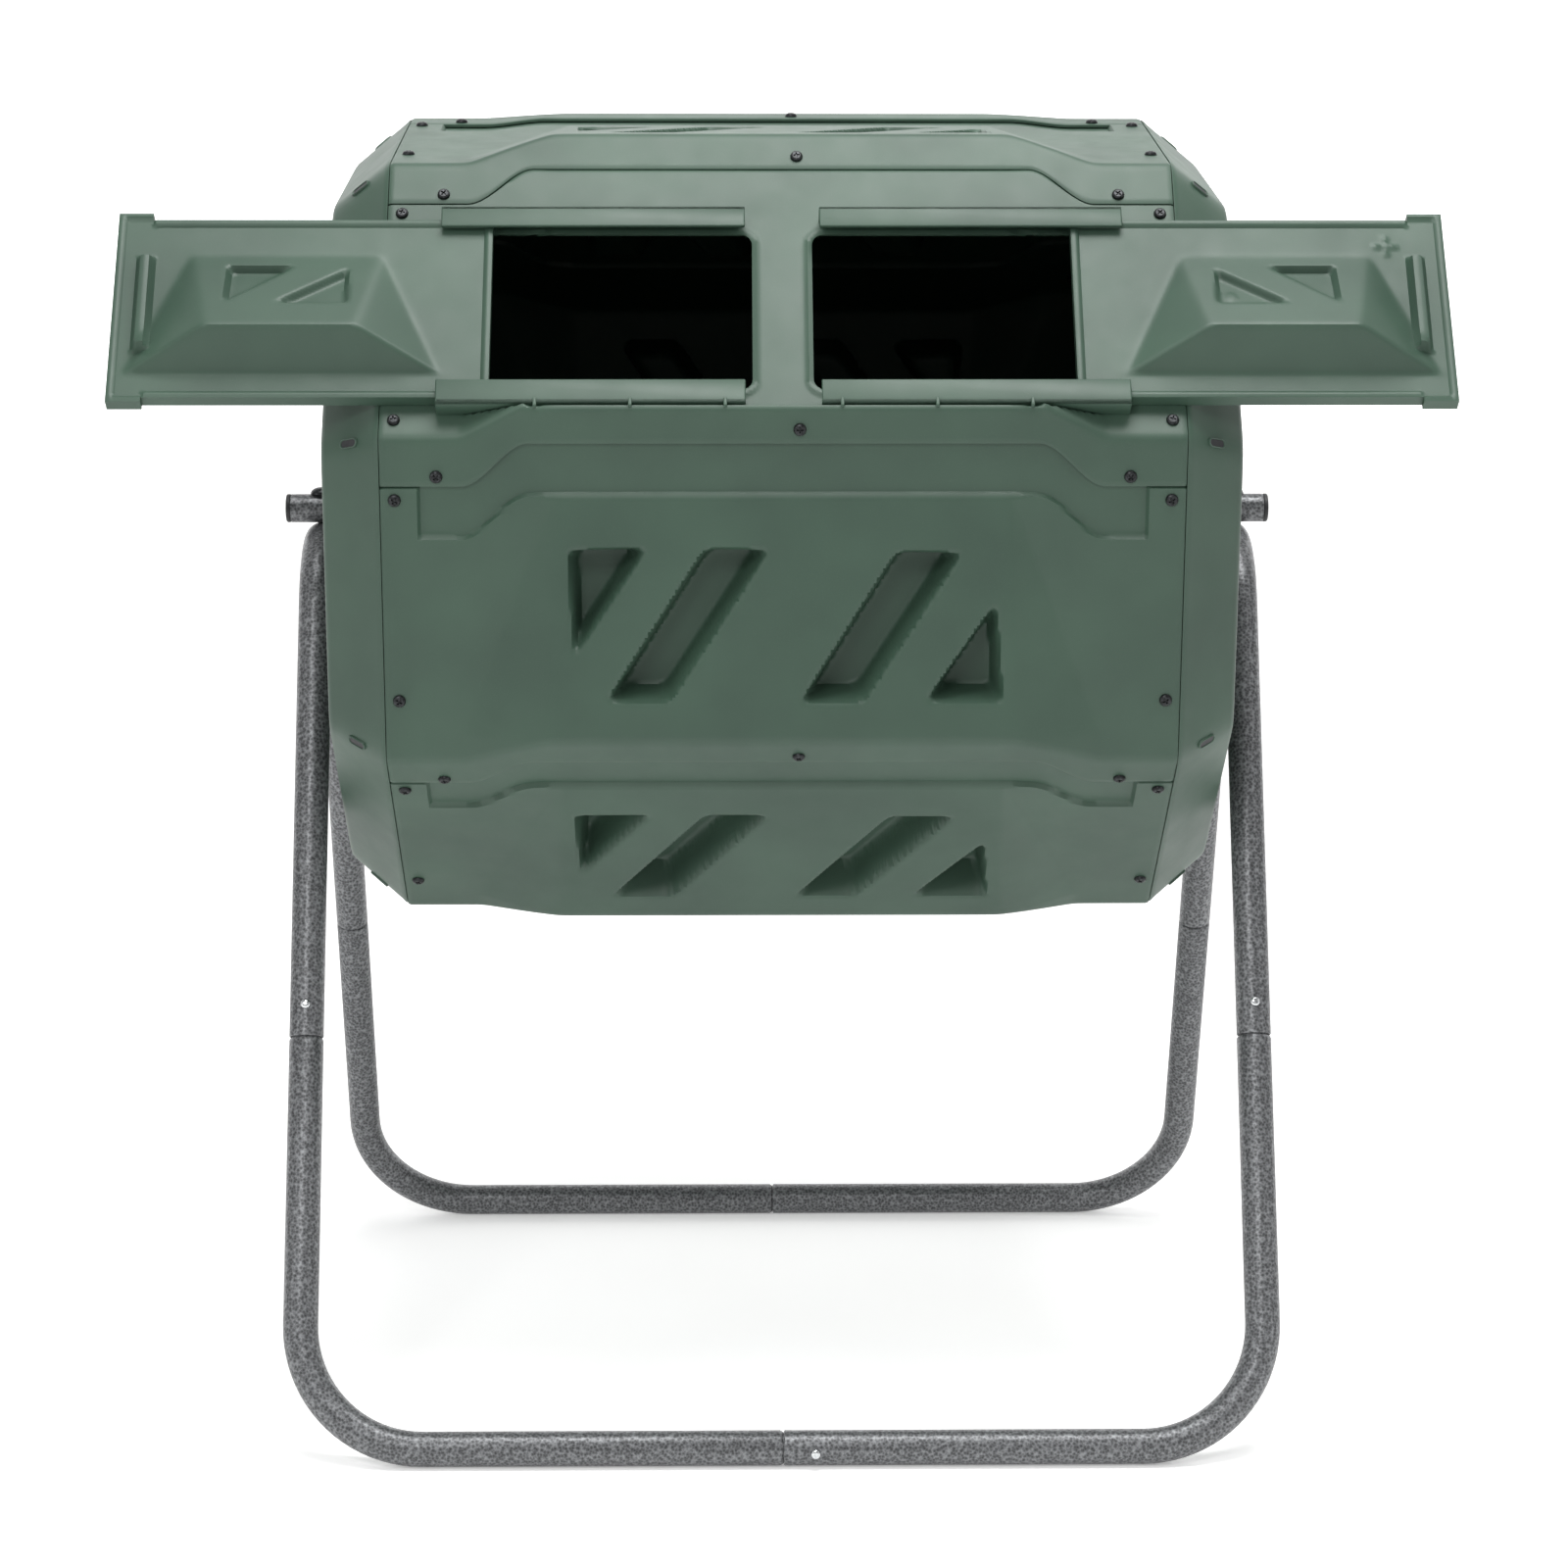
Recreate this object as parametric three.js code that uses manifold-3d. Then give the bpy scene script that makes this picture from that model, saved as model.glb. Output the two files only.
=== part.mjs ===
// Compost tumbler: an octagonal drum with two chambers and two sliding doors, turning on a
// fixed axle that lies across the tops of two bent tube legs.
// Millimetres, X to the right, Y to the back, Z up. The origin is on the floor under the drum.

import * as THREE from 'three';
import Module from 'manifold-3d';
import { ConvexGeometry } from 'three/addons/geometries/ConvexGeometry.js';
import { mergeVertices } from 'three/addons/utils/BufferGeometryUtils.js';

const wasm = await Module();
wasm.setup();

// ---- Drum ----
const AXLE_HEIGHT = 645.8;
const DRUM_TILT = 0.112;
const FLAT_HALF = 277.6;
const PANEL_HALF_LENGTH = 276.7;
const PANEL_WALL = 3;
const LAP_GAP = 0.5;
const SIDES = 8;
const SIDE_ANGLE = (2 * Math.PI) / SIDES;
const EDGE_HALF = FLAT_HALF * Math.tan(SIDE_ANGLE / 2);

// ---- Lap joints between panels ----
const LAP_AT_ENDS = 34;
const LAP_IN_MIDDLE = 4;
const LAP_UNDER = 16;
const LAP_CURVE_OUTER = 221;
const LAP_CURVE_INNER = 175;
const STRIP_WIDTH = 36;
const STRIP_HALF_LENGTH = PANEL_HALF_LENGTH - 25.7;
const BOSS_RISE = 18.5;
const BOSS_FOOT = 221;
const BOSS_TOP_LOWER = 163;
const BOSS_TOP_UPPER = 155;

// ---- Finger pockets in the plain panels ----
const POCKET_DEPTH = 26;
const POCKET_TAPER = 0.82;
const POCKET_PROUD = 2;

// ---- End caps ----
const CAP_DEPTH = 43;
const CAP_FLAT_HALF = FLAT_HALF - 34.8;
const CAP_LIP = 20;
const VENT_LENGTH = 14;
const VENT_WIDTH = 5;

// ---- Door openings and rails ----
const OPENING_INNER = 21;
const OPENING_OUTER = PANEL_HALF_LENGTH - 41.7;
const OPENING_TOP = EDGE_HALF - 61;
const OPENING_BOTTOM = 39 - EDGE_HALF;
const OPENING_CORNER = 9;
const RAIL_INNER = 26;
const RAIL_OUTER = PANEL_HALF_LENGTH - 38.7;
const RAIL_LIP_LOW = 13;
const RAIL_LIP_HIGH = 16;
const RAIL_TOP_EDGE = EDGE_HALF - 48;
const RAIL_TOP_LIP = EDGE_HALF - 65;
const RAIL_BOTTOM_EDGE = 17 - EDGE_HALF;
const RAIL_BOTTOM_LIP = 38 - EDGE_HALF;
const RAIL_WEB = 3.5;

// ---- Doors ----
const DOOR_INNER = PANEL_HALF_LENGTH - 74.7;
const DOOR_LENGTH = PANEL_HALF_LENGTH - 15.7;
const DOOR_TOP = EDGE_HALF - 56.4;
const DOOR_BOTTOM = 26.2 - EDGE_HALF;
const DOOR_FOOT = 0.6;
const DOOR_SKIN_LOW = 6.5;
const DOOR_SKIN_HIGH = 9.5;
const DOOR_RIM_HIGH = 11.5;
const DOOR_RIM = 4;
const DOOR_STOP_LENGTH = 24;
const DOOR_STOP_TOP = EDGE_HALF - 51;
const DOOR_STOP_BOTTOM = 23 - EDGE_HALF;
const GRIP_RISE = 28;
const GRIP_WALL = 5;

// ---- Axle ----
const AXLE_OUTER = 10.65;
const AXLE_INNER = 9.15;
const AXLE_BEYOND_LEG = 23;
const AXLE_CLEARANCE = 0.8;

// ---- Leg tubes ----
const TUBE_OUTER = 12.5;
const TUBE_INNER = 11.3;
const NECK_OUTER = 10.8;
const NECK_INNER = 9.6;
const NECK_LENGTH = 42;
const NECK_STEP = 2;
const LEG_GAP = 11.8;
const LEG_X = PANEL_HALF_LENGTH + CAP_DEPTH + LEG_GAP + TUBE_OUTER;
const AXLE_HALF_LENGTH = LEG_X + AXLE_BEYOND_LEG;
const BASE_Y = 309.9;
const LEG_LINES_MEET = 721;
const LEG_SEAM_HEIGHT = 283;
const CORNER_RADIUS = 88;
const SEAM_GAP = 0.4;

// ---- Snap buttons ----
const BUTTON_RADIUS = 3.4;
const BUTTON_HOLE = 3.8;
const BUTTON_PROUD = 3;
const BUTTON_FROM_SEAM = 23;

// ---- Fasteners ----
const SCREW_HEAD = 4.5;
const SCREW_SHANK = 1.9;
const SCREW_HOLE = 2.3;
const SCREW_LENGTH = 12;
const SCREW_X = PANEL_HALF_LENGTH - 38.7;
const SCREW_FROM_EDGE = 7;
const MIDDLE_SCREW_X = 11;
const BOLT_SHANK = 3;
const BOLT_HOLE = 3.4;
const NUT_GAP = 2.2;

const STRIP_LEVEL = FLAT_HALF - PANEL_WALL - LAP_GAP;
const STRIP_INSIDE = STRIP_LEVEL - PANEL_WALL;

const green = { color: 0x46634f, roughness: 0.55, metalness: 0 };
const darkPaint = { color: 0x56585a, roughness: 0.38, metalness: 0.3 };
const blackPlastic = { color: 0x17181a, roughness: 0.5, metalness: 0 };
const blackSteel = { color: 0x1c1d1f, roughness: 0.35, metalness: 0.6 };
const brightSteel = { color: 0xb9bcbe, roughness: 0.25, metalness: 1 };

// ---- Solid helpers ----

function toSolid(geometry) {
  const bare = geometry.clone();
  bare.deleteAttribute('normal');
  bare.deleteAttribute('uv');
  const merged = mergeVertices(bare, 1e-4);
  const vertProperties = Float32Array.from(merged.attributes.position.array);
  const triVerts = Uint32Array.from(merged.index.array);
  return new wasm.Manifold(new wasm.Mesh({ numProp: 3, vertProperties, triVerts }));
}

function toGeometry(solid) {
  const mesh = solid.getMesh();
  const geometry = new THREE.BufferGeometry();
  geometry.setAttribute('position', new THREE.BufferAttribute(mesh.vertProperties, 3));
  geometry.setIndex(new THREE.BufferAttribute(mesh.triVerts, 1));
  return geometry;
}

/** Turns a closed mesh so that its faces point outward. */
function facingOut(geometry) {
  const p = geometry.attributes.position;
  const index = geometry.index;
  const a = new THREE.Vector3();
  const b = new THREE.Vector3();
  const c = new THREE.Vector3();
  let volume = 0;
  for (let i = 0; i < index.count; i += 3) {
    a.fromBufferAttribute(p, index.getX(i));
    b.fromBufferAttribute(p, index.getX(i + 1));
    c.fromBufferAttribute(p, index.getX(i + 2));
    volume += a.dot(b.cross(c));
  }
  if (volume < 0) {
    for (let i = 0; i < index.count; i += 3) {
      const swap = index.getX(i);
      index.setX(i, index.getX(i + 1));
      index.setX(i + 1, swap);
    }
  }
  return geometry;
}

function indexed(points, triangles) {
  const geometry = new THREE.BufferGeometry();
  geometry.setFromPoints(points);
  geometry.setIndex(triangles);
  return facingOut(geometry);
}

function hull(points) {
  return toSolid(new ConvexGeometry(points.map((p) => new THREE.Vector3(...p))));
}

function box(low, high) {
  const size = high.map((value, i) => value - low[i]);
  const geometry = new THREE.BoxGeometry(...size);
  geometry.translate(...high.map((value, i) => (value + low[i]) / 2));
  return toSolid(geometry);
}

/** A closed outline turned about the axis that runs along `axis`; points are [radius, along]. */
function turned(outline, segments, axis, startAngle = 0) {
  const loop = [...outline, outline[0]].map((p) => new THREE.Vector2(p[0], p[1]));
  const lathe = new THREE.LatheGeometry(loop, segments, startAngle);
  lathe.deleteAttribute('normal');
  lathe.deleteAttribute('uv');
  const geometry = facingOut(withoutSlivers(mergeVertices(lathe, 1e-4)));
  const up = new THREE.Vector3(0, 1, 0);
  const turn = new THREE.Quaternion().setFromUnitVectors(up, axis.clone().normalize());
  return geometry.applyQuaternion(turn);
}

function withoutSlivers(geometry) {
  const source = geometry.index.array;
  const kept = [];
  for (let i = 0; i < source.length; i += 3) {
    const [a, b, c] = [source[i], source[i + 1], source[i + 2]];
    if (a !== b && b !== c && c !== a) kept.push(a, b, c);
  }
  geometry.setIndex(kept);
  return geometry;
}

function rod(radius, from, to, segments = 8) {
  const along = to.clone().sub(from);
  const outline = [[0, 0], [radius, 0], [radius, along.length()], [0, along.length()]];
  const geometry = turned(outline, segments, along);
  return toSolid(geometry.translate(from.x, from.y, from.z));
}

/** A closed sheet between an outer and an inner grid of points with the same rows and columns. */
function sheetBetween(outer, inner) {
  const rows = outer.length;
  const columns = outer[0].length;
  const count = rows * columns;
  const triangles = [];
  const quad = (a, b, c, d) => triangles.push(a, b, c, a, c, d);
  const at = (row, column) => row * columns + column;
  for (let i = 0; i < rows - 1; i += 1) {
    for (let j = 0; j < columns - 1; j += 1) {
      const [a, b] = [at(i, j), at(i, j + 1)];
      const [c, d] = [at(i + 1, j + 1), at(i + 1, j)];
      quad(a, b, c, d);
      quad(count + d, count + c, count + b, count + a);
    }
  }
  const rim = [];
  for (let j = 0; j < columns - 1; j += 1) rim.push(at(0, j));
  for (let i = 0; i < rows - 1; i += 1) rim.push(at(i, columns - 1));
  for (let j = columns - 1; j > 0; j -= 1) rim.push(at(rows - 1, j));
  for (let i = rows - 1; i > 0; i -= 1) rim.push(at(i, 0));
  rim.forEach((here, k) => {
    const next = rim[(k + 1) % rim.length];
    quad(next, here, count + here, count + next);
  });
  return indexed([...outer.flat(), ...inner.flat()], triangles);
}

/** A hollow tube through flat-plane stations; a flat of its many-sided section faces `flatTo`. */
function sweptTube(stations, planeNormal, flatAt, flatTo, sides = 12) {
  const last = stations.length - 1;
  const frames = stations.map((station, i) => {
    const before = i > 0 ? station.p.clone().sub(stations[i - 1].p).normalize() : null;
    const after = i < last ? stations[i + 1].p.clone().sub(station.p).normalize() : null;
    const tangent = new THREE.Vector3();
    if (before) tangent.add(before);
    if (after) tangent.add(after);
    tangent.normalize();
    const stretch = before && after ? 1 / tangent.dot(after) : 1;
    return { side: tangent.clone().cross(planeNormal), stretch };
  });
  const flatFrame = frames[flatAt];
  const phase = Math.atan2(flatTo.dot(flatFrame.side), flatTo.dot(planeNormal));
  const corner = 1 / Math.cos(Math.PI / sides);
  const ring = (i, radius) => {
    const points = [];
    for (let k = 0; k < sides; k += 1) {
      const angle = phase + ((k + 0.5) * 2 * Math.PI) / sides;
      const point = stations[i].p.clone();
      const sideways = radius * corner * Math.sin(angle) * frames[i].stretch;
      point.addScaledVector(planeNormal, radius * corner * Math.cos(angle));
      point.addScaledVector(frames[i].side, sideways);
      points.push(point);
    }
    return points;
  };
  const rings = stations.map((station, i) => ring(i, station.outer));
  for (let i = last; i >= 0; i -= 1) rings.push(ring(i, stations[i].inner));
  const triangles = [];
  rings.forEach((_, i) => {
    const next = (i + 1) % rings.length;
    for (let k = 0; k < sides; k += 1) {
      const k2 = (k + 1) % sides;
      const [a, b] = [i * sides + k, i * sides + k2];
      const [c, d] = [next * sides + k2, next * sides + k];
      triangles.push(a, b, c, a, c, d);
    }
  });
  return indexed(rings.flat(), triangles);
}

// ---- The object and its groups ----

const tumbler = new THREE.Group();
tumbler.name = 'compost_tumbler';
const drum = new THREE.Group();
drum.name = 'drum_group';
drum.position.z = AXLE_HEIGHT;
drum.rotation.x = DRUM_TILT;
tumbler.add(drum);

function addPart(name, shape, look, parent = tumbler) {
  const geometry = shape.isBufferGeometry ? shape.toNonIndexed() : toGeometry(shape).toNonIndexed();
  geometry.computeVertexNormals();
  const mesh = new THREE.Mesh(geometry, new THREE.MeshStandardMaterial(look));
  mesh.name = name;
  parent.add(mesh);
  return mesh;
}

/** Turns a shape drawn on a face (X along the drum, Y up the face, Z outward) to side k. */
function ontoSide(geometry, k) {
  return geometry.rotateX(Math.PI / 2 - k * SIDE_ANGLE);
}

// ---- Panels ----

/** Columns of a panel: where each crosses the strip, where it meets the bend, and its sizes there. */
function panelColumns() {
  const ends = [
    { top: PANEL_HALF_LENGTH, low: PANEL_HALF_LENGTH, strip: false },
    { top: STRIP_HALF_LENGTH + 2, low: STRIP_HALF_LENGTH + 8, strip: false },
    { top: STRIP_HALF_LENGTH, low: STRIP_HALF_LENGTH, strip: true },
    { top: LAP_CURVE_OUTER, low: BOSS_FOOT + 18, strip: true },
    { top: (LAP_CURVE_OUTER + LAP_CURVE_INNER) / 2, low: BOSS_FOOT + 12, strip: true },
    { top: LAP_CURVE_INNER, low: BOSS_FOOT + 6, strip: true },
    { top: BOSS_TOP_UPPER + 2, low: BOSS_FOOT, strip: true },
    { top: BOSS_TOP_UPPER + 1.4, low: LAP_CURVE_OUTER - 23, strip: true },
    { top: BOSS_TOP_UPPER + 0.7, low: LAP_CURVE_INNER, strip: true },
    { top: BOSS_TOP_UPPER, low: BOSS_TOP_LOWER, strip: true },
  ];
  const mirrored = ends.map((c) => ({ top: -c.top, low: -c.low, strip: c.strip }));
  return [...mirrored, ...ends.reverse()];
}

function lapAt(x) {
  const span = LAP_CURVE_OUTER - LAP_CURVE_INNER;
  const part = THREE.MathUtils.clamp((Math.abs(x) - LAP_CURVE_INNER) / span, 0, 1);
  const eased = part * part * (3 - 2 * part);
  return LAP_IN_MIDDLE + (LAP_AT_ENDS - LAP_IN_MIDDLE) * eased;
}

function riseAt(x) {
  const span = BOSS_FOOT - BOSS_TOP_LOWER;
  return BOSS_RISE * THREE.MathUtils.clamp((BOSS_FOOT - Math.abs(x)) / span, 0, 1);
}

/** The outline of one column, from under the upper lap down to the flange's edge. */
function columnPath(column, hasStrip, bossStart) {
  const lap = lapAt(column.top);
  const stripWidth = hasStrip && column.strip ? STRIP_WIDTH : 1;
  const rise = riseAt(column.low);
  const edge = lapAt(column.low);
  const down = Math.sin(SIDE_ANGLE);
  const inward = Math.cos(SIDE_ANGLE);
  const path = [
    { x: column.top, s: lap - LAP_UNDER - EDGE_HALF, n: STRIP_LEVEL },
    { x: column.top, s: lap + stripWidth - EDGE_HALF, n: STRIP_LEVEL },
    { x: column.top, s: lap + stripWidth + 1 - EDGE_HALF, n: FLAT_HALF },
  ];
  if (bossStart !== null) path.push({ x: column.low, s: bossStart, n: FLAT_HALF });
  path.push({ x: column.low, s: EDGE_HALF - rise, n: FLAT_HALF + rise });
  path.push({ x: column.low, s: EDGE_HALF + edge * inward, n: FLAT_HALF - edge * down });
  return path;
}

/** The same outline, moved inward by the wall, with square corners kept. */
function inset(path, depth) {
  const normals = path.slice(1).map((p, i) => {
    const ds = p.s - path[i].s;
    const dn = p.n - path[i].n;
    const length = Math.hypot(ds, dn);
    return [-dn / length, ds / length];
  });
  return path.map((p, i) => {
    const before = normals[Math.max(i - 1, 0)];
    const after = normals[Math.min(i, normals.length - 1)];
    const scale = depth / (1 + before[0] * after[0] + before[1] * after[1]);
    const s = p.s - (before[0] + after[0]) * scale;
    return { x: p.x, s, n: p.n - (before[1] + after[1]) * scale };
  });
}

function panelShell(hasStrip, bossStart) {
  const paths = panelColumns().map((column) => columnPath(column, hasStrip, bossStart));
  const asRows = (list) => list[0].map((_, row) => (
    list.map((path) => new THREE.Vector3(path[row].x, -path[row].s, path[row].n))
  ));
  const inner = paths.map((path) => inset(path, PANEL_WALL));
  return toSolid(sheetBetween(asRows(paths), asRows(inner)));
}

/** Corners of the four finger pockets, as [x, up the face]. */
const TRIANGLE_LEFT = [[-148, 37], [-94, 38], [-145, -38]];
const SLANT_LEFT = [[-54, 38], [-10, 37], [-79, -68], [-122, -68]];
const SLANT_RIGHT = [[78, 36], [123, 35], [55, -68], [12, -68]];
const TRIANGLE_RIGHT = [[147, 1], [152, -68], [99, -68]];
const POCKETS = [TRIANGLE_LEFT, SLANT_LEFT, SLANT_RIGHT, TRIANGLE_RIGHT];

/** How far the boss stands proud at a height up the face, in the middle of the panel. */
function bossLevel(up) {
  const start = EDGE_HALF - LAP_IN_MIDDLE - STRIP_WIDTH - 1;
  const end = BOSS_RISE - EDGE_HALF;
  const part = THREE.MathUtils.clamp((start - up) / (start - end), 0, 1);
  return FLAT_HALF + BOSS_RISE * part;
}

/** A tapered plug on a pocket's outline: `grow` widens it, `top` and `floor` are its levels. */
function pocketPlug(corners, grow, top, floorOffset) {
  const cx = corners.reduce((sum, c) => sum + c[0], 0) / corners.length;
  const cy = corners.reduce((sum, c) => sum + c[1], 0) / corners.length;
  const points = [];
  corners.forEach(([x, y]) => {
    const reach = Math.hypot(x - cx, y - cy);
    const wide = (reach + grow) / reach;
    const narrow = POCKET_TAPER * wide;
    const floor = bossLevel(cy) - POCKET_DEPTH - floorOffset;
    points.push([cx + (x - cx) * wide, cy + (y - cy) * wide, bossLevel(y) + top]);
    points.push([cx + (x - cx) * narrow, cy + (y - cy) * narrow, floor]);
  });
  return hull(points);
}

function addPockets(shell) {
  let panel = shell;
  POCKETS.forEach((corners) => {
    panel = panel.add(pocketPlug(corners, PANEL_WALL * 1.6, -1, PANEL_WALL));
  });
  POCKETS.forEach((corners) => {
    panel = panel.subtract(pocketPlug(corners, 0, POCKET_PROUD, 0));
  });
  return panel;
}

/** Where the screws of one lap joint stand: along the drum and below the upper corner. */
const LAP_SCREWS = [
  { name: 'left', x: -SCREW_X, w: LAP_AT_ENDS - SCREW_FROM_EDGE },
  { name: 'middle', x: MIDDLE_SCREW_X, w: LAP_IN_MIDDLE - SCREW_FROM_EDGE - 3 },
  { name: 'right', x: SCREW_X, w: LAP_AT_ENDS - SCREW_FROM_EDGE },
];

/** A hole square to the side below, cut where the flange lies on it. */
function flangeHole(screw) {
  const along = screw.w - EDGE_HALF;
  const from = new THREE.Vector3(screw.x, -along, FLAT_HALF - 14);
  const to = new THREE.Vector3(screw.x, -along, FLAT_HALF + 6);
  return rod(SCREW_HOLE, from, to, 6);
}

function drillPanel(panel) {
  const turn = (180 / Math.PI) * SIDE_ANGLE;
  let drilled = panel;
  LAP_SCREWS.forEach((screw) => {
    const hole = flangeHole(screw);
    drilled = drilled.subtract(hole).subtract(hole.rotate([turn, 0, 0]));
  });
  return drilled;
}

function plainPanel() {
  return drillPanel(addPockets(panelShell(true, null)));
}

function openingPlug(sign) {
  const shape = new THREE.Shape();
  const left = OPENING_INNER;
  const right = OPENING_OUTER;
  const r = OPENING_CORNER;
  shape.moveTo(left + r, OPENING_BOTTOM);
  shape.lineTo(right - r, OPENING_BOTTOM);
  shape.absarc(right - r, OPENING_BOTTOM + r, r, -Math.PI / 2, 0);
  shape.lineTo(right, OPENING_TOP - r);
  shape.absarc(right - r, OPENING_TOP - r, r, 0, Math.PI / 2);
  shape.lineTo(left + r, OPENING_TOP);
  shape.absarc(left + r, OPENING_TOP - r, r, Math.PI / 2, Math.PI);
  shape.lineTo(left, OPENING_BOTTOM + r);
  shape.absarc(left + r, OPENING_BOTTOM + r, r, Math.PI, 1.5 * Math.PI);
  const geometry = new THREE.ExtrudeGeometry(shape, { depth: 24, bevelEnabled: false, curveSegments: 3 });
  geometry.translate(0, 0, FLAT_HALF - 12);
  const solid = toSolid(geometry);
  return sign > 0 ? solid : solid.mirror([1, 0, 0]);
}

/** One rail: a wall off the face with a lip that turns in over the door's edge. */
function railSolid(edge, lipEdge, sign) {
  const webEdge = edge - Math.sign(edge) * RAIL_WEB;
  const base = FLAT_HALF - PANEL_WALL / 2;
  const span = (a, b) => [Math.min(a, b), Math.max(a, b)];
  const [x0, x1] = span(sign * RAIL_INNER, sign * RAIL_OUTER);
  const [w0, w1] = span(edge, webEdge);
  const [l0, l1] = span(edge, lipEdge);
  const web = box([x0, w0, base], [x1, w1, FLAT_HALF + RAIL_LIP_HIGH]);
  const lip = box([x0, l0, FLAT_HALF + RAIL_LIP_LOW], [x1, l1, FLAT_HALF + RAIL_LIP_HIGH]);
  return web.add(lip);
}

function doorPanel() {
  const bossStart = 1.2 - DOOR_STOP_BOTTOM;
  let panel = panelShell(false, bossStart);
  [-1, 1].forEach((sign) => {
    panel = panel.add(railSolid(RAIL_TOP_EDGE, RAIL_TOP_LIP, sign));
    panel = panel.add(railSolid(RAIL_BOTTOM_EDGE + RAIL_WEB / 2, RAIL_BOTTOM_LIP, sign));
  });
  [-1, 1].forEach((sign) => {
    panel = panel.subtract(openingPlug(sign));
  });
  return drillPanel(panel);
}

const PANEL_NAMES = [
  'front_panel',
  'door_panel',
  'top_panel',
  'rear_upper_panel',
  'rear_panel',
  'rear_lower_panel',
  'bottom_panel',
  'front_lower_panel',
];
const plain = toGeometry(plainPanel());
PANEL_NAMES.forEach((name, k) => {
  const geometry = name === 'door_panel' ? toGeometry(doorPanel()) : plain.clone();
  addPart(name, ontoSide(geometry, k), green, drum);
});

// ---- Lap joint screws ----

function screwGeometry() {
  const outline = [
    [0, -SCREW_LENGTH],
    [SCREW_SHANK, -SCREW_LENGTH + 2],
    [SCREW_SHANK, LAP_GAP * 0.4],
    [SCREW_HEAD, LAP_GAP * 0.4],
    [SCREW_HEAD * 0.8, 2.2],
    [0, 3],
  ];
  return turned(outline, 6, new THREE.Vector3(0, 0, 1));
}

PANEL_NAMES.forEach((name, k) => {
  LAP_SCREWS.forEach((screw) => {
    const geometry = screwGeometry();
    geometry.translate(screw.x, EDGE_HALF - screw.w, FLAT_HALF);
    addPart(`screw_${screw.name}_${k + 1}`, ontoSide(geometry, k), blackSteel, drum);
  });
});

// ---- End caps and partition ----

function capSolid() {
  const rimX = PANEL_HALF_LENGTH + LAP_GAP;
  const faceX = PANEL_HALF_LENGTH + CAP_DEPTH;
  const toCorner = 1 / Math.cos(SIDE_ANGLE / 2);
  const hole = (AXLE_OUTER + AXLE_CLEARANCE) * toCorner;
  const lipTop = STRIP_INSIDE - LAP_GAP;
  const outline = [
    [hole, faceX],
    [CAP_FLAT_HALF * toCorner, faceX],
    [FLAT_HALF * toCorner, rimX],
    [lipTop * toCorner, rimX],
    [lipTop * toCorner, rimX - CAP_LIP],
    [(lipTop - PANEL_WALL) * toCorner, rimX - CAP_LIP],
    [(lipTop - PANEL_WALL) * toCorner, rimX + 2],
    [(CAP_FLAT_HALF - 2) * toCorner, faceX - PANEL_WALL],
    [hole, faceX - PANEL_WALL],
  ];
  let cap = toSolid(turned(outline, SIDES, new THREE.Vector3(1, 0, 0), SIDE_ANGLE / 2));
  const middle = (CAP_FLAT_HALF + FLAT_HALF) / 2;
  for (let k = 0; k < SIDES; k += 1) {
    const slot = box(
      [-VENT_LENGTH / 2, -VENT_WIDTH / 2, -12],
      [VENT_LENGTH / 2, VENT_WIDTH / 2, 12],
    );
    const lean = Math.atan2(CAP_DEPTH, (FLAT_HALF - CAP_FLAT_HALF) * toCorner);
    const placed = slot.rotate([0, (180 / Math.PI) * (Math.PI / 2 - lean), 0])
      .translate([PANEL_HALF_LENGTH + CAP_DEPTH / 2, 0, middle * toCorner])
      .rotate([((k + 0.5) * 360) / SIDES, 0, 0]);
    cap = cap.subtract(placed);
  }
  return cap;
}

const rightCap = capSolid();
addPart('end_cap_right', rightCap, green, drum);
addPart('end_cap_left', rightCap.mirror([1, 0, 0]), green, drum);

function partitionGeometry() {
  const toCorner = 1 / Math.cos(SIDE_ANGLE / 2);
  const hole = (AXLE_OUTER + AXLE_CLEARANCE) * toCorner;
  const reach = (STRIP_INSIDE - LAP_GAP) * toCorner;
  const half = PANEL_WALL / 2;
  const outline = [[hole, -half], [reach, -half], [reach, half], [hole, half]];
  return turned(outline, SIDES, new THREE.Vector3(1, 0, 0), SIDE_ANGLE / 2);
}
addPart('partition', partitionGeometry(), green, drum);

// ---- Sliding doors ----

/** Two triangles on the grip, either side of a slanted bar, as [from the grip's middle, up]. */
const GRIP_RECESSES = [
  [[41, 18], [-8, 18], [41, -23]],
  [[-44, 16], [-46, -23], [7, -23]],
];

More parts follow.
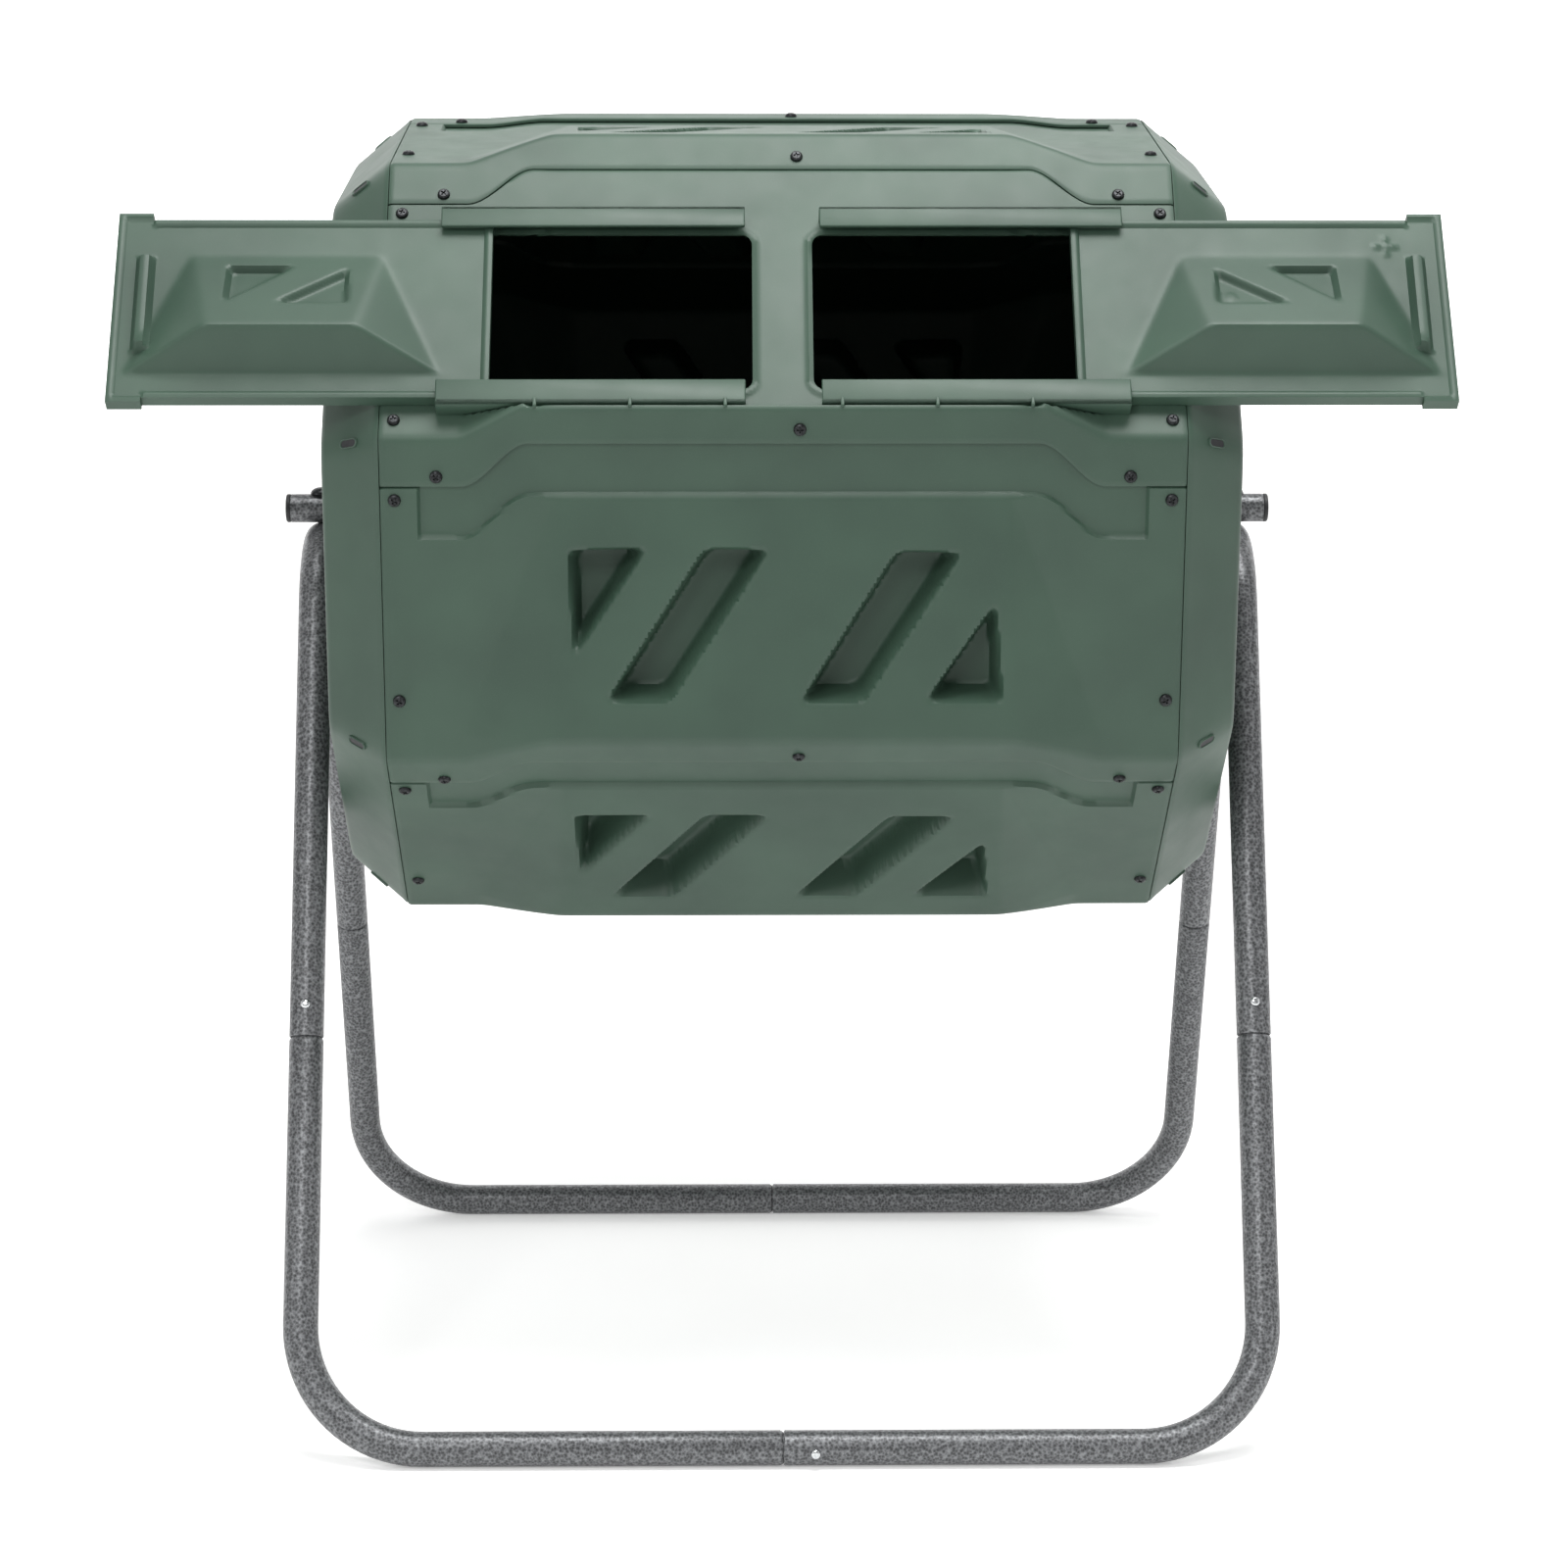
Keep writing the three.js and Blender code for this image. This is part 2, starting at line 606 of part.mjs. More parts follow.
function rightDoor() {
  const x0 = DOOR_INNER;
  const x1 = DOOR_INNER + DOOR_LENGTH;
  const level = (n) => FLAT_HALF + n;
  let door = box([x0, DOOR_BOTTOM, level(DOOR_FOOT)], [x1, DOOR_TOP, level(DOOR_RIM_HIGH)]);
  const stopX = x1 - DOOR_STOP_LENGTH;
  const stopTop = box(
    [stopX, DOOR_STOP_BOTTOM, level(DOOR_FOOT)],
    [x1, DOOR_STOP_TOP, level(DOOR_RIM_HIGH)],
  );
  door = door.add(stopTop);
  door = door.subtract(box(
    [x0 + DOOR_RIM, DOOR_BOTTOM + DOOR_RIM, level(0)],
    [x1 - DOOR_RIM, DOOR_TOP - DOOR_RIM, level(DOOR_SKIN_LOW)],
  ));
  door = door.subtract(box(
    [x0 + DOOR_RIM, DOOR_BOTTOM + DOOR_RIM, level(DOOR_SKIN_HIGH)],
    [x1 - DOOR_RIM, DOOR_TOP - DOOR_RIM, level(DOOR_RIM_HIGH + 1)],
  ));
  const gripMiddle = x0 + DOOR_LENGTH * 0.545;
  const crest = level(DOOR_SKIN_HIGH + GRIP_RISE);
  const grip = (inset_, lower) => hull([
    [gripMiddle - 66 + inset_, 29 - inset_, level(DOOR_SKIN_HIGH) - lower],
    [gripMiddle + 66 - inset_, 29 - inset_, level(DOOR_SKIN_HIGH) - lower],
    [gripMiddle - 108 + inset_, -69 + inset_, level(DOOR_SKIN_HIGH) - lower],
    [gripMiddle + 108 - inset_, -69 + inset_, level(DOOR_SKIN_HIGH) - lower],
    [gripMiddle - 52 + inset_, -47 + inset_ * 0.4, crest - inset_],
    [gripMiddle + 52 - inset_, -47 + inset_ * 0.4, crest - inset_],
  ]);
  door = door.add(grip(0, 1)).subtract(grip(GRIP_WALL, DOOR_SKIN_HIGH));
  const recess = ([x, y]) => {
    const part = (29 - y) / 76;
    return [gripMiddle + x, y, level(DOOR_SKIN_HIGH) + GRIP_RISE * part];
  };
  GRIP_RECESSES.forEach((outline) => {
    const corners = outline.map(recess);
    const deep = corners.map(([x, y, n]) => [x, y, n - 2]);
    const high = corners.map(([x, y, n]) => [x, y, n + 6]);
    door = door.subtract(hull([...deep, ...high]));
  });
  const barX = x1 - 21;
  door = door.add(hull([
    [barX - 6, 28, level(DOOR_SKIN_HIGH - 1)],
    [barX + 6, 28, level(DOOR_SKIN_HIGH - 1)],
    [barX - 6, -52, level(DOOR_SKIN_HIGH - 1)],
    [barX + 6, -52, level(DOOR_SKIN_HIGH - 1)],
    [barX - 4, 21, level(DOOR_SKIN_HIGH + 9)],
    [barX + 4, 21, level(DOOR_SKIN_HIGH + 9)],
    [barX - 4, -45, level(DOOR_SKIN_HIGH + 9)],
    [barX + 4, -45, level(DOOR_SKIN_HIGH + 9)],
  ]));
  return door;
}

const doorSolid = rightDoor();
addPart('door_right', ontoSide(toGeometry(doorSolid), 1), green, drum);
addPart('door_left', ontoSide(toGeometry(doorSolid.mirror([1, 0, 0])), 1), green, drum);

// ---- Axle ----

const AXLE_Z = new THREE.Vector3(0, 0, AXLE_HEIGHT);
function boltHole(sign) {
  const from = new THREE.Vector3(sign * LEG_X, 0, AXLE_HEIGHT - 60);
  const to = new THREE.Vector3(sign * LEG_X, 0, AXLE_HEIGHT + 30);
  return rod(BOLT_HOLE, from, to, 8);
}

function axleTube() {
  const outline = [
    [AXLE_INNER, -AXLE_HALF_LENGTH],
    [AXLE_OUTER, -AXLE_HALF_LENGTH],
    [AXLE_OUTER, AXLE_HALF_LENGTH],
    [AXLE_INNER, AXLE_HALF_LENGTH],
  ];
  const geometry = turned(outline, 16, new THREE.Vector3(1, 0, 0));
  const tube = toSolid(geometry.translate(AXLE_Z.x, AXLE_Z.y, AXLE_Z.z));
  return tube.subtract(boltHole(1)).subtract(boltHole(-1));
}
addPart('axle_tube', axleTube(), darkPaint);

function axlePlug(sign) {
  const end = AXLE_HALF_LENGTH + 0.3;
  const outline = [
    [0, end - 14],
    [AXLE_INNER - 0.5, end - 14],
    [AXLE_INNER - 0.5, end],
    [AXLE_OUTER, end],
    [AXLE_OUTER - 1, end + 3],
    [0, end + 3],
  ];
  const geometry = turned(outline, 16, new THREE.Vector3(sign, 0, 0));
  return geometry.translate(AXLE_Z.x, AXLE_Z.y, AXLE_Z.z);
}
addPart('axle_plug_right', axlePlug(1), blackPlastic);
addPart('axle_plug_left', axlePlug(-1), blackPlastic);

// ---- Leg tubes ----

const LEG_RUN = BASE_Y;
const LEG_CLIMB = LEG_LINES_MEET - TUBE_OUTER;
const LEG_LENGTH = Math.hypot(LEG_RUN, LEG_CLIMB);
const SIN_LEAN = LEG_RUN / LEG_LENGTH;
const COS_LEAN = LEG_CLIMB / LEG_LENGTH;
const APEX_Z = AXLE_HEIGHT - AXLE_OUTER - 0.3 - TUBE_OUTER;
const APEX_RADIUS = (LEG_LINES_MEET - APEX_Z) / (1 / SIN_LEAN - 1);

/** A point on a leg's centreline, measured along it from the seam, up being positive. */
function onLeg(signX, signY, along) {
  const z = LEG_SEAM_HEIGHT + along * COS_LEAN;
  return new THREE.Vector3(signX * LEG_X, (signY * (LEG_LINES_MEET - z) * LEG_RUN) / LEG_CLIMB, z);
}

function legButtonHole(signX, signY) {
  const middle = onLeg(signX, signY, BUTTON_FROM_SEAM);
  const out = new THREE.Vector3(0, signY * COS_LEAN, SIN_LEAN);
  const tip = middle.clone().addScaledVector(out, 22);
  return rod(BUTTON_HOLE, middle, tip, 8);
}

function baseButtonHole(signY) {
  const middle = new THREE.Vector3(BUTTON_FROM_SEAM, signY * BASE_Y, TUBE_OUTER);
  const tip = middle.clone().add(new THREE.Vector3(0, signY * 22, 0));
  return rod(BUTTON_HOLE, middle, tip, 8);
}

function upperFrame(signX) {
  const stations = [];
  const add = (p) => stations.push({ p, outer: TUBE_OUTER, inner: TUBE_INNER });
  const centreZ = APEX_Z - APEX_RADIUS;
  const sweep = Math.PI / 2 - Math.asin(SIN_LEAN);
  const steps = 6;
  add(onLeg(signX, -1, SEAM_GAP));
  for (let i = 0; i <= steps; i += 1) {
    const angle = -sweep + (2 * sweep * i) / steps;
    const y = Math.sin(angle) * APEX_RADIUS;
    add(new THREE.Vector3(signX * LEG_X, y, centreZ + Math.cos(angle) * APEX_RADIUS));
  }
  add(onLeg(signX, 1, SEAM_GAP));
  const across = new THREE.Vector3(1, 0, 0);
  let tube = toSolid(sweptTube(stations, across, 0, across));
  tube = tube.subtract(boltHole(signX));
  return tube.subtract(legButtonHole(signX, -1)).subtract(legButtonHole(signX, 1));
}
addPart('upper_frame_left', upperFrame(-1), darkPaint);
addPart('upper_frame_right', upperFrame(1), darkPaint);

/** The bent lower tube of one corner: swaged neck, leg, corner bend and half of the base. */
function lowerTube(signX, signY) {
  const stations = [];
  const full = (p) => stations.push({ p, outer: TUBE_OUTER, inner: TUBE_INNER });
  const neck = (p) => stations.push({ p, outer: NECK_OUTER, inner: NECK_INNER });
  neck(onLeg(signX, signY, NECK_LENGTH));
  neck(onLeg(signX, signY, 0));
  full(onLeg(signX, signY, -NECK_STEP));
  const up = new THREE.Vector3(0, -signY * SIN_LEAN, COS_LEAN);
  const inward = new THREE.Vector3(-signX, 0, 0);
  const corner = new THREE.Vector3(signX * LEG_X, signY * BASE_Y, TUBE_OUTER);
  const centre = corner.clone();
  centre.addScaledVector(up, CORNER_RADIUS).addScaledVector(inward, CORNER_RADIUS);
  const steps = 5;
  for (let i = 0; i <= steps; i += 1) {
    const angle = (Math.PI / 2) * (i / steps);
    const point = centre.clone();
    point.addScaledVector(inward, -Math.cos(angle) * CORNER_RADIUS);
    point.addScaledVector(up, -Math.sin(angle) * CORNER_RADIUS);
    full(point);
  }
  const onBase = (x) => new THREE.Vector3(x, signY * BASE_Y, TUBE_OUTER);
  if (signX < 0) {
    full(onBase(-NECK_STEP));
    neck(onBase(0));
    neck(onBase(NECK_LENGTH));
  } else {
    full(onBase(SEAM_GAP));
  }
  const planeNormal = inward.clone().cross(up).normalize();
  const lastBase = stations.length - 1;
  const floor = new THREE.Vector3(0, 0, -1);
  let tube = toSolid(sweptTube(stations, planeNormal, lastBase, floor));
  tube = tube.subtract(legButtonHole(signX, signY));
  return tube.subtract(baseButtonHole(signY));
}
addPart('lower_tube_front_left', lowerTube(-1, -1), darkPaint);
addPart('lower_tube_front_right', lowerTube(1, -1), darkPaint);
addPart('lower_tube_rear_left', lowerTube(-1, 1), darkPaint);
addPart('lower_tube_rear_right', lowerTube(1, 1), darkPaint);

// ---- Snap buttons: a pin on the end of a folded leaf spring ----

/** Drawn with the pin along +Z from the tube's centre, and the leaf running along +X. */
function buttonSolid() {
  const leafTop = NECK_INNER - 2.2;
  const pin = turned([
    [0, leafTop - 0.4],
    [BUTTON_RADIUS, leafTop - 0.4],
    [BUTTON_RADIUS, TUBE_OUTER + BUTTON_PROUD - 1.2],
    [BUTTON_RADIUS * 0.65, TUBE_OUTER + BUTTON_PROUD],
    [0, TUBE_OUTER + BUTTON_PROUD],
  ], 8, new THREE.Vector3(0, 0, 1));
  const leaf = new THREE.Shape();
  leaf.moveTo(-4.5, leafTop);
  leaf.lineTo(14, leafTop);
  leaf.lineTo(17, 3);
  leaf.lineTo(14, -1.5);
  leaf.lineTo(-8, -4.2);
  leaf.lineTo(-8, -3.3);
  leaf.lineTo(13.4, -0.6);
  leaf.lineTo(16, 3);
  leaf.lineTo(13.4, leafTop - 0.9);
  leaf.lineTo(-4.5, leafTop - 0.9);
  const geometry = new THREE.ExtrudeGeometry(leaf, { depth: 6, bevelEnabled: false });
  geometry.translate(0, 0, -3);
  geometry.rotateX(Math.PI / 2);
  return toSolid(pin).add(toSolid(geometry));
}

const BUTTON = toGeometry(buttonSolid());
function addButton(name, at, pinDirection, leafDirection) {
  const third = pinDirection.clone().cross(leafDirection);
  const place = new THREE.Matrix4().makeBasis(leafDirection, third, pinDirection);
  place.setPosition(at);
  addPart(name, BUTTON.clone().applyMatrix4(place), brightSteel);
}

[['front', -1], ['rear', 1]].forEach(([face, signY]) => {
  const out = new THREE.Vector3(0, signY * COS_LEAN, SIN_LEAN);
  const down = new THREE.Vector3(0, signY * SIN_LEAN, -COS_LEAN);
  addButton(`snap_button_${face}_left`, onLeg(-1, signY, BUTTON_FROM_SEAM), out, down);
  addButton(`snap_button_${face}_right`, onLeg(1, signY, BUTTON_FROM_SEAM), out, down);
  const base = new THREE.Vector3(BUTTON_FROM_SEAM, signY * BASE_Y, TUBE_OUTER);
  const outBase = new THREE.Vector3(0, signY, 0);
  addButton(`snap_button_${face}_base`, base, outBase, new THREE.Vector3(-1, 0, 0));
});

// ---- Axle bolts and nuts ----

function axleBolt(signX) {
  const top = AXLE_OUTER + 0.2;
  const bottom = -(AXLE_HEIGHT - APEX_Z + TUBE_OUTER + 10);
  const geometry = turned([
    [0, bottom],
    [BOLT_SHANK, bottom],
    [BOLT_SHANK, top],
    [8, top],
    [7, top + 3],
    [4, top + 4.6],
    [0, top + 5],
  ], 10, new THREE.Vector3(0, 0, 1));
  return geometry.translate(signX * LEG_X, 0, AXLE_HEIGHT);
}

function axleNut(signX) {
  const top = APEX_Z - TUBE_OUTER - NUT_GAP;
  const hole = BOLT_HOLE / Math.cos(Math.PI / 6);
  const geometry = turned([
    [hole, top - 5.5],
    [7, top - 5.5],
    [7, top],
    [hole, top],
  ], 6, new THREE.Vector3(0, 0, 1));
  return geometry.translate(signX * LEG_X, 0, 0);
}
addPart('axle_bolt_left', axleBolt(-1), blackSteel);
addPart('axle_bolt_right', axleBolt(1), blackSteel);
addPart('axle_nut_left', axleNut(-1), blackSteel);
addPart('axle_nut_right', axleNut(1), blackSteel);

export default tumbler;
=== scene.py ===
"""Looks of a compost tumbler: a green plastic octagonal drum on a hammered-paint tube stand.

Shapes are worked out in millimetres on the drum's faces and placed in metres in the row frame.
"""

import math

import bpy
import numpy as np
from mathutils import Matrix, Vector
from mathutils.geometry import tessellate_polygon


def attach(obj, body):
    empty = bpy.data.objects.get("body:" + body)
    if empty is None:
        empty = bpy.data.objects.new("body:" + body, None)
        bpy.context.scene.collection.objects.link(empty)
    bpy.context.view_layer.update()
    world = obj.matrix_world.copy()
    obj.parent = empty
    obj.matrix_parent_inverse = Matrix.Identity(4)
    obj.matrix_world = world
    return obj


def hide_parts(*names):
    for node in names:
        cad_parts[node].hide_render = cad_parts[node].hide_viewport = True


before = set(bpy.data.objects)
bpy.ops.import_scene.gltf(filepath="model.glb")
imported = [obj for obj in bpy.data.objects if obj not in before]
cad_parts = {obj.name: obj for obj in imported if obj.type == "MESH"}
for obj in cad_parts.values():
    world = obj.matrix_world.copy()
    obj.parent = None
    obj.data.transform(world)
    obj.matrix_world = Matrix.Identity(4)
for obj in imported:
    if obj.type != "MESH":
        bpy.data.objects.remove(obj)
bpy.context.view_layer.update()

MM = 0.001
SCENE = bpy.context.scene

# ---- Sizes of the drum, in millimetres ----
AXLE_HEIGHT = 645.8
TILT = 0.112
FACE = 277.6
SIDE_ANGLE = math.pi / 4
EDGE = FACE * math.tan(SIDE_ANGLE / 2)
HALF_LENGTH = 276.7
LAP_ENDS, LAP_MIDDLE = 34.0, 4.0
LAP_OUTER, LAP_INNER = 221.0, 175.0
STRIP = 36.0
STRIP_HALF = 251.0
STRIP_DEPTH = 3.5
LAP_UNDER = 16.0
LAP_GAP = 1.5
BOSS_RISE = 18.5
BOSS_TOP_HALF, BOSS_TOP_SPREAD = 155.0, 8.0
BOSS_FOOT_HALF, BOSS_FOOT_SPREAD = 157.0, 64.0
DOOR_BOSS_START = 93.2
WALL = 2.5
GRID = 2.1
POCKET_DEPTH = 29.0
POCKETS = [
    [(-148, 37), (-94, 38), (-145, -38)],
    [(-54, 38), (-10, 37), (-79, -69), (-122, -68)],
    [(78, 36), (123, 35), (55, -69), (12, -69)],
    [(147, 1), (152, -69), (99, -68)],
]
PANELS = ["front_panel", "door_panel", "top_panel", "rear_upper_panel", "rear_panel",
          "rear_lower_panel", "bottom_panel", "front_lower_panel"]


def linear(hexcode):
    """An sRGB colour written in hex, as linear red, green, blue and alpha."""
    parts = [int(hexcode[i:i + 2], 16) / 255 for i in (1, 3, 5)]
    bright = [c / 12.92 if c <= 0.04045 else ((c + 0.055) / 1.055) ** 2.4 for c in parts]
    return tuple(bright) + (1.0,)


# ---- Materials ----

def add_node(tree, kind, settings=None, values=None, links=None):
    """One shader or geometry node: its settings, its unlinked values and its incoming links."""
    made = tree.nodes.new(kind)
    for key, value in (settings or {}).items():
        setattr(made, key, value)
    for key, value in (values or {}).items():
        made.inputs[key].default_value = value
    for key, source in (links or {}).items():
        tree.links.new(source, made.inputs[key])
    return made


def ramp(tree, source, stops):
    """A colour that runs through (place, colour) stops as the source goes from 0 to 1."""
    made = add_node(tree, "ShaderNodeValToRGB", links={"Fac": source})
    elements = made.color_ramp.elements
    while len(elements) < len(stops):
        elements.new(0.5)
    for element, (place, colour) in zip(elements, stops):
        element.position = place
        element.color = colour
    return made.outputs["Color"]


def new_material(name):
    """An empty material, its node tree, its surface node and the Object coordinates."""
    material = bpy.data.materials.new(name)
    material.use_nodes = True
    tree = material.node_tree
    tree.nodes.clear()
    surface = add_node(tree, "ShaderNodeBsdfPrincipled")
    add_node(tree, "ShaderNodeOutputMaterial", links={"Surface": surface.outputs["BSDF"]})
    coords = add_node(tree, "ShaderNodeTexCoord").outputs["Object"]
    return material, tree, surface, coords


def noise(tree, coords, size_mm, detail=2.0, rough=0.5):
    """Noise whose features are about this many millimetres across."""
    made = add_node(tree, "ShaderNodeTexNoise", values={
        "Scale": 1 / (size_mm * MM), "Detail": detail, "Roughness": rough,
    }, links={"Vector": coords})
    return made.outputs["Fac"]


def mapped(tree, source, low, high):
    """The source's 0 to 1 stretched over low to high."""
    made = add_node(tree, "ShaderNodeMapRange", values={
        "From Min": 0.0, "From Max": 1.0, "To Min": low, "To Max": high}, links={"Value": source})
    return made.outputs["Result"]


def bumped(tree, height, strength, distance_mm, under=None):
    """A surface direction roughened by a height, on top of an earlier one if given."""
    links = {"Height": height}
    if under is not None:
        links["Normal"] = under
    made = add_node(tree, "ShaderNodeBump", values={
        "Strength": strength, "Distance": distance_mm * MM}, links=links)
    return made.outputs["Normal"]


def moulded_green():
    # Moulded polypropylene: a greyed green with slow tone drift from the melt, a fine etched grain
    # over every face and a patchy sheen. It reads as dry, slightly waxy garden plastic.
    material, tree, surface, coords = new_material("moulded_green")
    drift = noise(tree, coords, 90, 3)
    tone = ramp(tree, drift, [(0.3, linear("#2f4438")), (0.7, linear("#374e40"))])
    pellet = noise(tree, coords, 0.7, 1)
    fleck = ramp(tree, pellet, [(0.60, (0, 0, 0, 1)), (0.72, (1, 1, 1, 1))])
    fleck_share = add_node(tree, "ShaderNodeMath", {"operation": "MULTIPLY"}, {1: 0.10}, {0: fleck})
    colour = add_node(tree, "ShaderNodeMix", {"data_type": "RGBA"}, {"B": linear("#566c5f")},
                      {"Factor": fleck_share.outputs[0], "A": tone})
    tree.links.new(colour.outputs["Result"], surface.inputs["Base Color"])
    sheen = noise(tree, coords, 26, 4, 0.6)
    tree.links.new(mapped(tree, sheen, 0.40, 0.56), surface.inputs["Roughness"])
    flow = bumped(tree, noise(tree, coords, 38, 2), 0.10, 0.5)
    grain = bumped(tree, noise(tree, coords, 0.55, 2), 0.22, 0.10, flow)
    tree.links.new(grain, surface.inputs["Normal"])
    surface.inputs["IOR"].default_value = 1.49
    surface.inputs["Specular IOR Level"].default_value = 0.45
    return material


def hammered_paint():
    # Hammer-finish paint on steel tube: cells a few millimetres wide times a finer speckle, from
    # dark to pale grey, with dimples and some metal. It breaks up the highlight along each tube.
    material, tree, surface, coords = new_material("hammered_paint")
    cells = add_node(tree, "ShaderNodeTexVoronoi", {"feature": "F1"}, {
        "Scale": 1 / (2.3 * MM), "Randomness": 1.0}, {"Vector": coords})
    speckle = noise(tree, coords, 1.1, 3, 0.7)
    mixed = add_node(tree, "ShaderNodeMath", {"operation": "MULTIPLY"}, {},
                     {0: cells.outputs["Distance"], 1: speckle})
    colour = ramp(tree, mixed.outputs[0], [(0.06, linear("#363738")), (0.24, linear("#5c5d5f")),
                                           (0.46, linear("#828486"))])
    tree.links.new(colour, surface.inputs["Base Color"])
    tree.links.new(mapped(tree, speckle, 0.30, 0.48), surface.inputs["Roughness"])
    dimples = bumped(tree, cells.outputs["Distance"], 0.35, 0.2)
    tree.links.new(bumped(tree, speckle, 0.2, 0.08, dimples), surface.inputs["Normal"])
    surface.inputs["Metallic"].default_value = 0.4
    return material


def coated_steel(name, dark, pale, metallic, rough_low, rough_high):
    # Coated or bare steel hardware: rubbed patches a few millimetres wide over a fine grain, so
    # the small heads catch light unevenly.
    material, tree, surface, coords = new_material(name)
    rub = noise(tree, coords, 2.2, 3, 0.6)
    tone = ramp(tree, rub, [(0.35, linear(dark)), (0.7, linear(pale))])
    tree.links.new(tone, surface.inputs["Base Color"])
    tree.links.new(mapped(tree, rub, rough_low, rough_high), surface.inputs["Roughness"])
    tree.links.new(bumped(tree, noise(tree, coords, 0.35, 2), 0.15, 0.05), surface.inputs["Normal"])
    surface.inputs["Metallic"].default_value = metallic
    return material


def black_moulding_and_painted_shade():
    # Black moulded plastic: charcoal with a fine etched grain and dusty paler patches, so the axle
    # plugs read as dark matt plastic and not as flat paint. The flat sheets laid in the vent slots
    # use the same charcoal as painted shadow, standing for the dark inside of holes the caps do not
    # have.
    material, tree, surface, coords = new_material("black_moulding_and_painted_shade")
    dust = noise(tree, coords, 7, 4, 0.6)
    tree.links.new(ramp(tree, dust, [(0.4, linear("#17181a")), (0.75, linear("#2b2d2f"))]),
                   surface.inputs["Base Color"])
    tree.links.new(mapped(tree, dust, 0.42, 0.62), surface.inputs["Roughness"])
    tree.links.new(bumped(tree, noise(tree, coords, 0.5, 2), 0.25, 0.08), surface.inputs["Normal"])
    return material


GREEN = moulded_green()
PAINT = hammered_paint()
BLACK_STEEL = coated_steel("black_steel_finish", "#141516", "#3a3c3e", 0.7, 0.28, 0.46)
BRIGHT_STEEL = coated_steel("bright_spring_steel", "#b4b7b9", "#dfe1e2", 1.0, 0.16, 0.34)
BLACK_PLASTIC_AND_SHADE = black_moulding_and_painted_shade()


# ---- Mesh making ----

def new_piece(name, points, faces, material, sharp_degrees=32):
    """A mesh object from points in millimetres."""
    mesh = bpy.data.meshes.new(name)
    mesh.from_pydata((np.asarray(points, float) * MM).tolist(), [], faces)
    mesh.validate()
    mesh.polygons.foreach_set("use_smooth", np.ones(len(mesh.polygons), bool))
    mesh.set_sharp_from_angle(angle=math.radians(sharp_degrees))
    mesh.materials.append(material)
    mesh.update()
    piece = bpy.data.objects.new(name, mesh)
    SCENE.collection.objects.link(piece)
    return piece


def declare(piece, body, slot, *nodes):
    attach(piece, body)
    if nodes:
        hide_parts(*nodes)
    return piece


def on_face(points, side):
    """Points drawn as (along the drum, up the face, out) placed on a side of the tilted drum."""
    p = np.asarray(points, float).reshape(-1, 3)
    angle = math.pi / 2 - side * SIDE_ANGLE + TILT
    c, s = math.cos(angle), math.sin(angle)
    y = p[:, 1] * c - p[:, 2] * s
    z = p[:, 1] * s + p[:, 2] * c + AXLE_HEIGHT
    return np.column_stack([p[:, 0], y, z])


def turned_drum(points):
    """Points given in the untilted drum's own frame, placed in the row frame."""
    p = np.asarray(points, float).reshape(-1, 3)
    c, s = math.cos(TILT), math.sin(TILT)
    y = p[:, 1] * c - p[:, 2] * s
    z = p[:, 1] * s + p[:, 2] * c + AXLE_HEIGHT
    return np.column_stack([p[:, 0], y, z])


def closed_sheet(outer, inner, kept=None):
    """Points and faces of a shell between two grids; `kept` marks the cells that exist."""
    rows, columns = outer.shape[:2]
    kept = np.ones((rows - 1, columns - 1), bool) if kept is None else kept
    number = np.arange(rows * columns).reshape(rows, columns)
    offset = rows * columns
    a, b = number[:-1, :-1][kept], number[:-1, 1:][kept]
    c, d = number[1:, 1:][kept], number[1:, :-1][kept]
    faces = np.vstack([np.column_stack([a, d, c, b]), np.column_stack([a, b, c, d]) + offset])
    padded = np.pad(kept, 1)
    walls = []
    rims = [
        (kept & ~padded[:-2, 1:-1], number[:-1, :-1], number[:-1, 1:]),
        (kept & ~padded[1:-1, 2:], number[:-1, 1:], number[1:, 1:]),
        (kept & ~padded[2:, 1:-1], number[1:, 1:], number[1:, :-1]),
        (kept & ~padded[1:-1, :-2], number[1:, :-1], number[:-1, :-1]),
    ]
    for mask, first, second in rims:
        p, q = first[mask], second[mask]
        walls.append(np.column_stack([p, q, q + offset, p + offset]))
    faces = np.vstack([faces, *walls])
    points = np.vstack([outer.reshape(-1, 3), inner.reshape(-1, 3)])
    used = np.unique(faces)
    renumber = np.full(len(points), -1)
    renumber[used] = np.arange(len(used))
    return points[used], renumber[faces].tolist()


def grid_normals(points):
    """Unit directions square to a grid of points."""
    down = np.gradient(points, axis=0)
    across = np.gradient(points, axis=1)
    normal = np.cross(down, across)
    length = np.linalg.norm(normal, axis=2, keepdims=True)
    return normal / np.maximum(length, 1e-9)


def soft_clamp(t, rounding=0.08):
    """t held between 0 and 1, with both corners eased."""
    return (np.sqrt(t ** 2 + rounding ** 2) - np.sqrt((t - 1) ** 2 + rounding ** 2) + 1) / 2


def step(t):
    """A smooth rise from 0 to 1."""
    t = np.clip(t, 0, 1)
    return t * t * (3 - 2 * t)


def outline_distance(x, y, corners, rounding=2.2):
    """Distance outside a convex outline, with eased corners; negative inside."""
    pts = np.array(corners, float)
    area = sum(pts[i - 1][0] * pts[i][1] - pts[i][0] * pts[i - 1][1] for i in range(len(pts)))
    if area < 0:
        pts = pts[::-1]
    total = 0
    for i, here in enumerate(pts):
        edge = pts[(i + 1) % len(pts)] - here
        out = np.array([edge[1], -edge[0]]) / np.linalg.norm(edge)
        beyond = ((x - here[0]) * out[0] + (y - here[1]) * out[1]) / rounding
        total = total + np.exp(np.clip(beyond, -60, 60))
    return rounding * np.log(total)


def lap_at(x):
    """Width of the neighbour's flange over this panel, wider towards the drum's ends."""
    toward_ends = step((np.abs(x) - LAP_INNER) / (LAP_OUTER - LAP_INNER))
    return LAP_MIDDLE + (LAP_ENDS - LAP_MIDDLE) * toward_ends


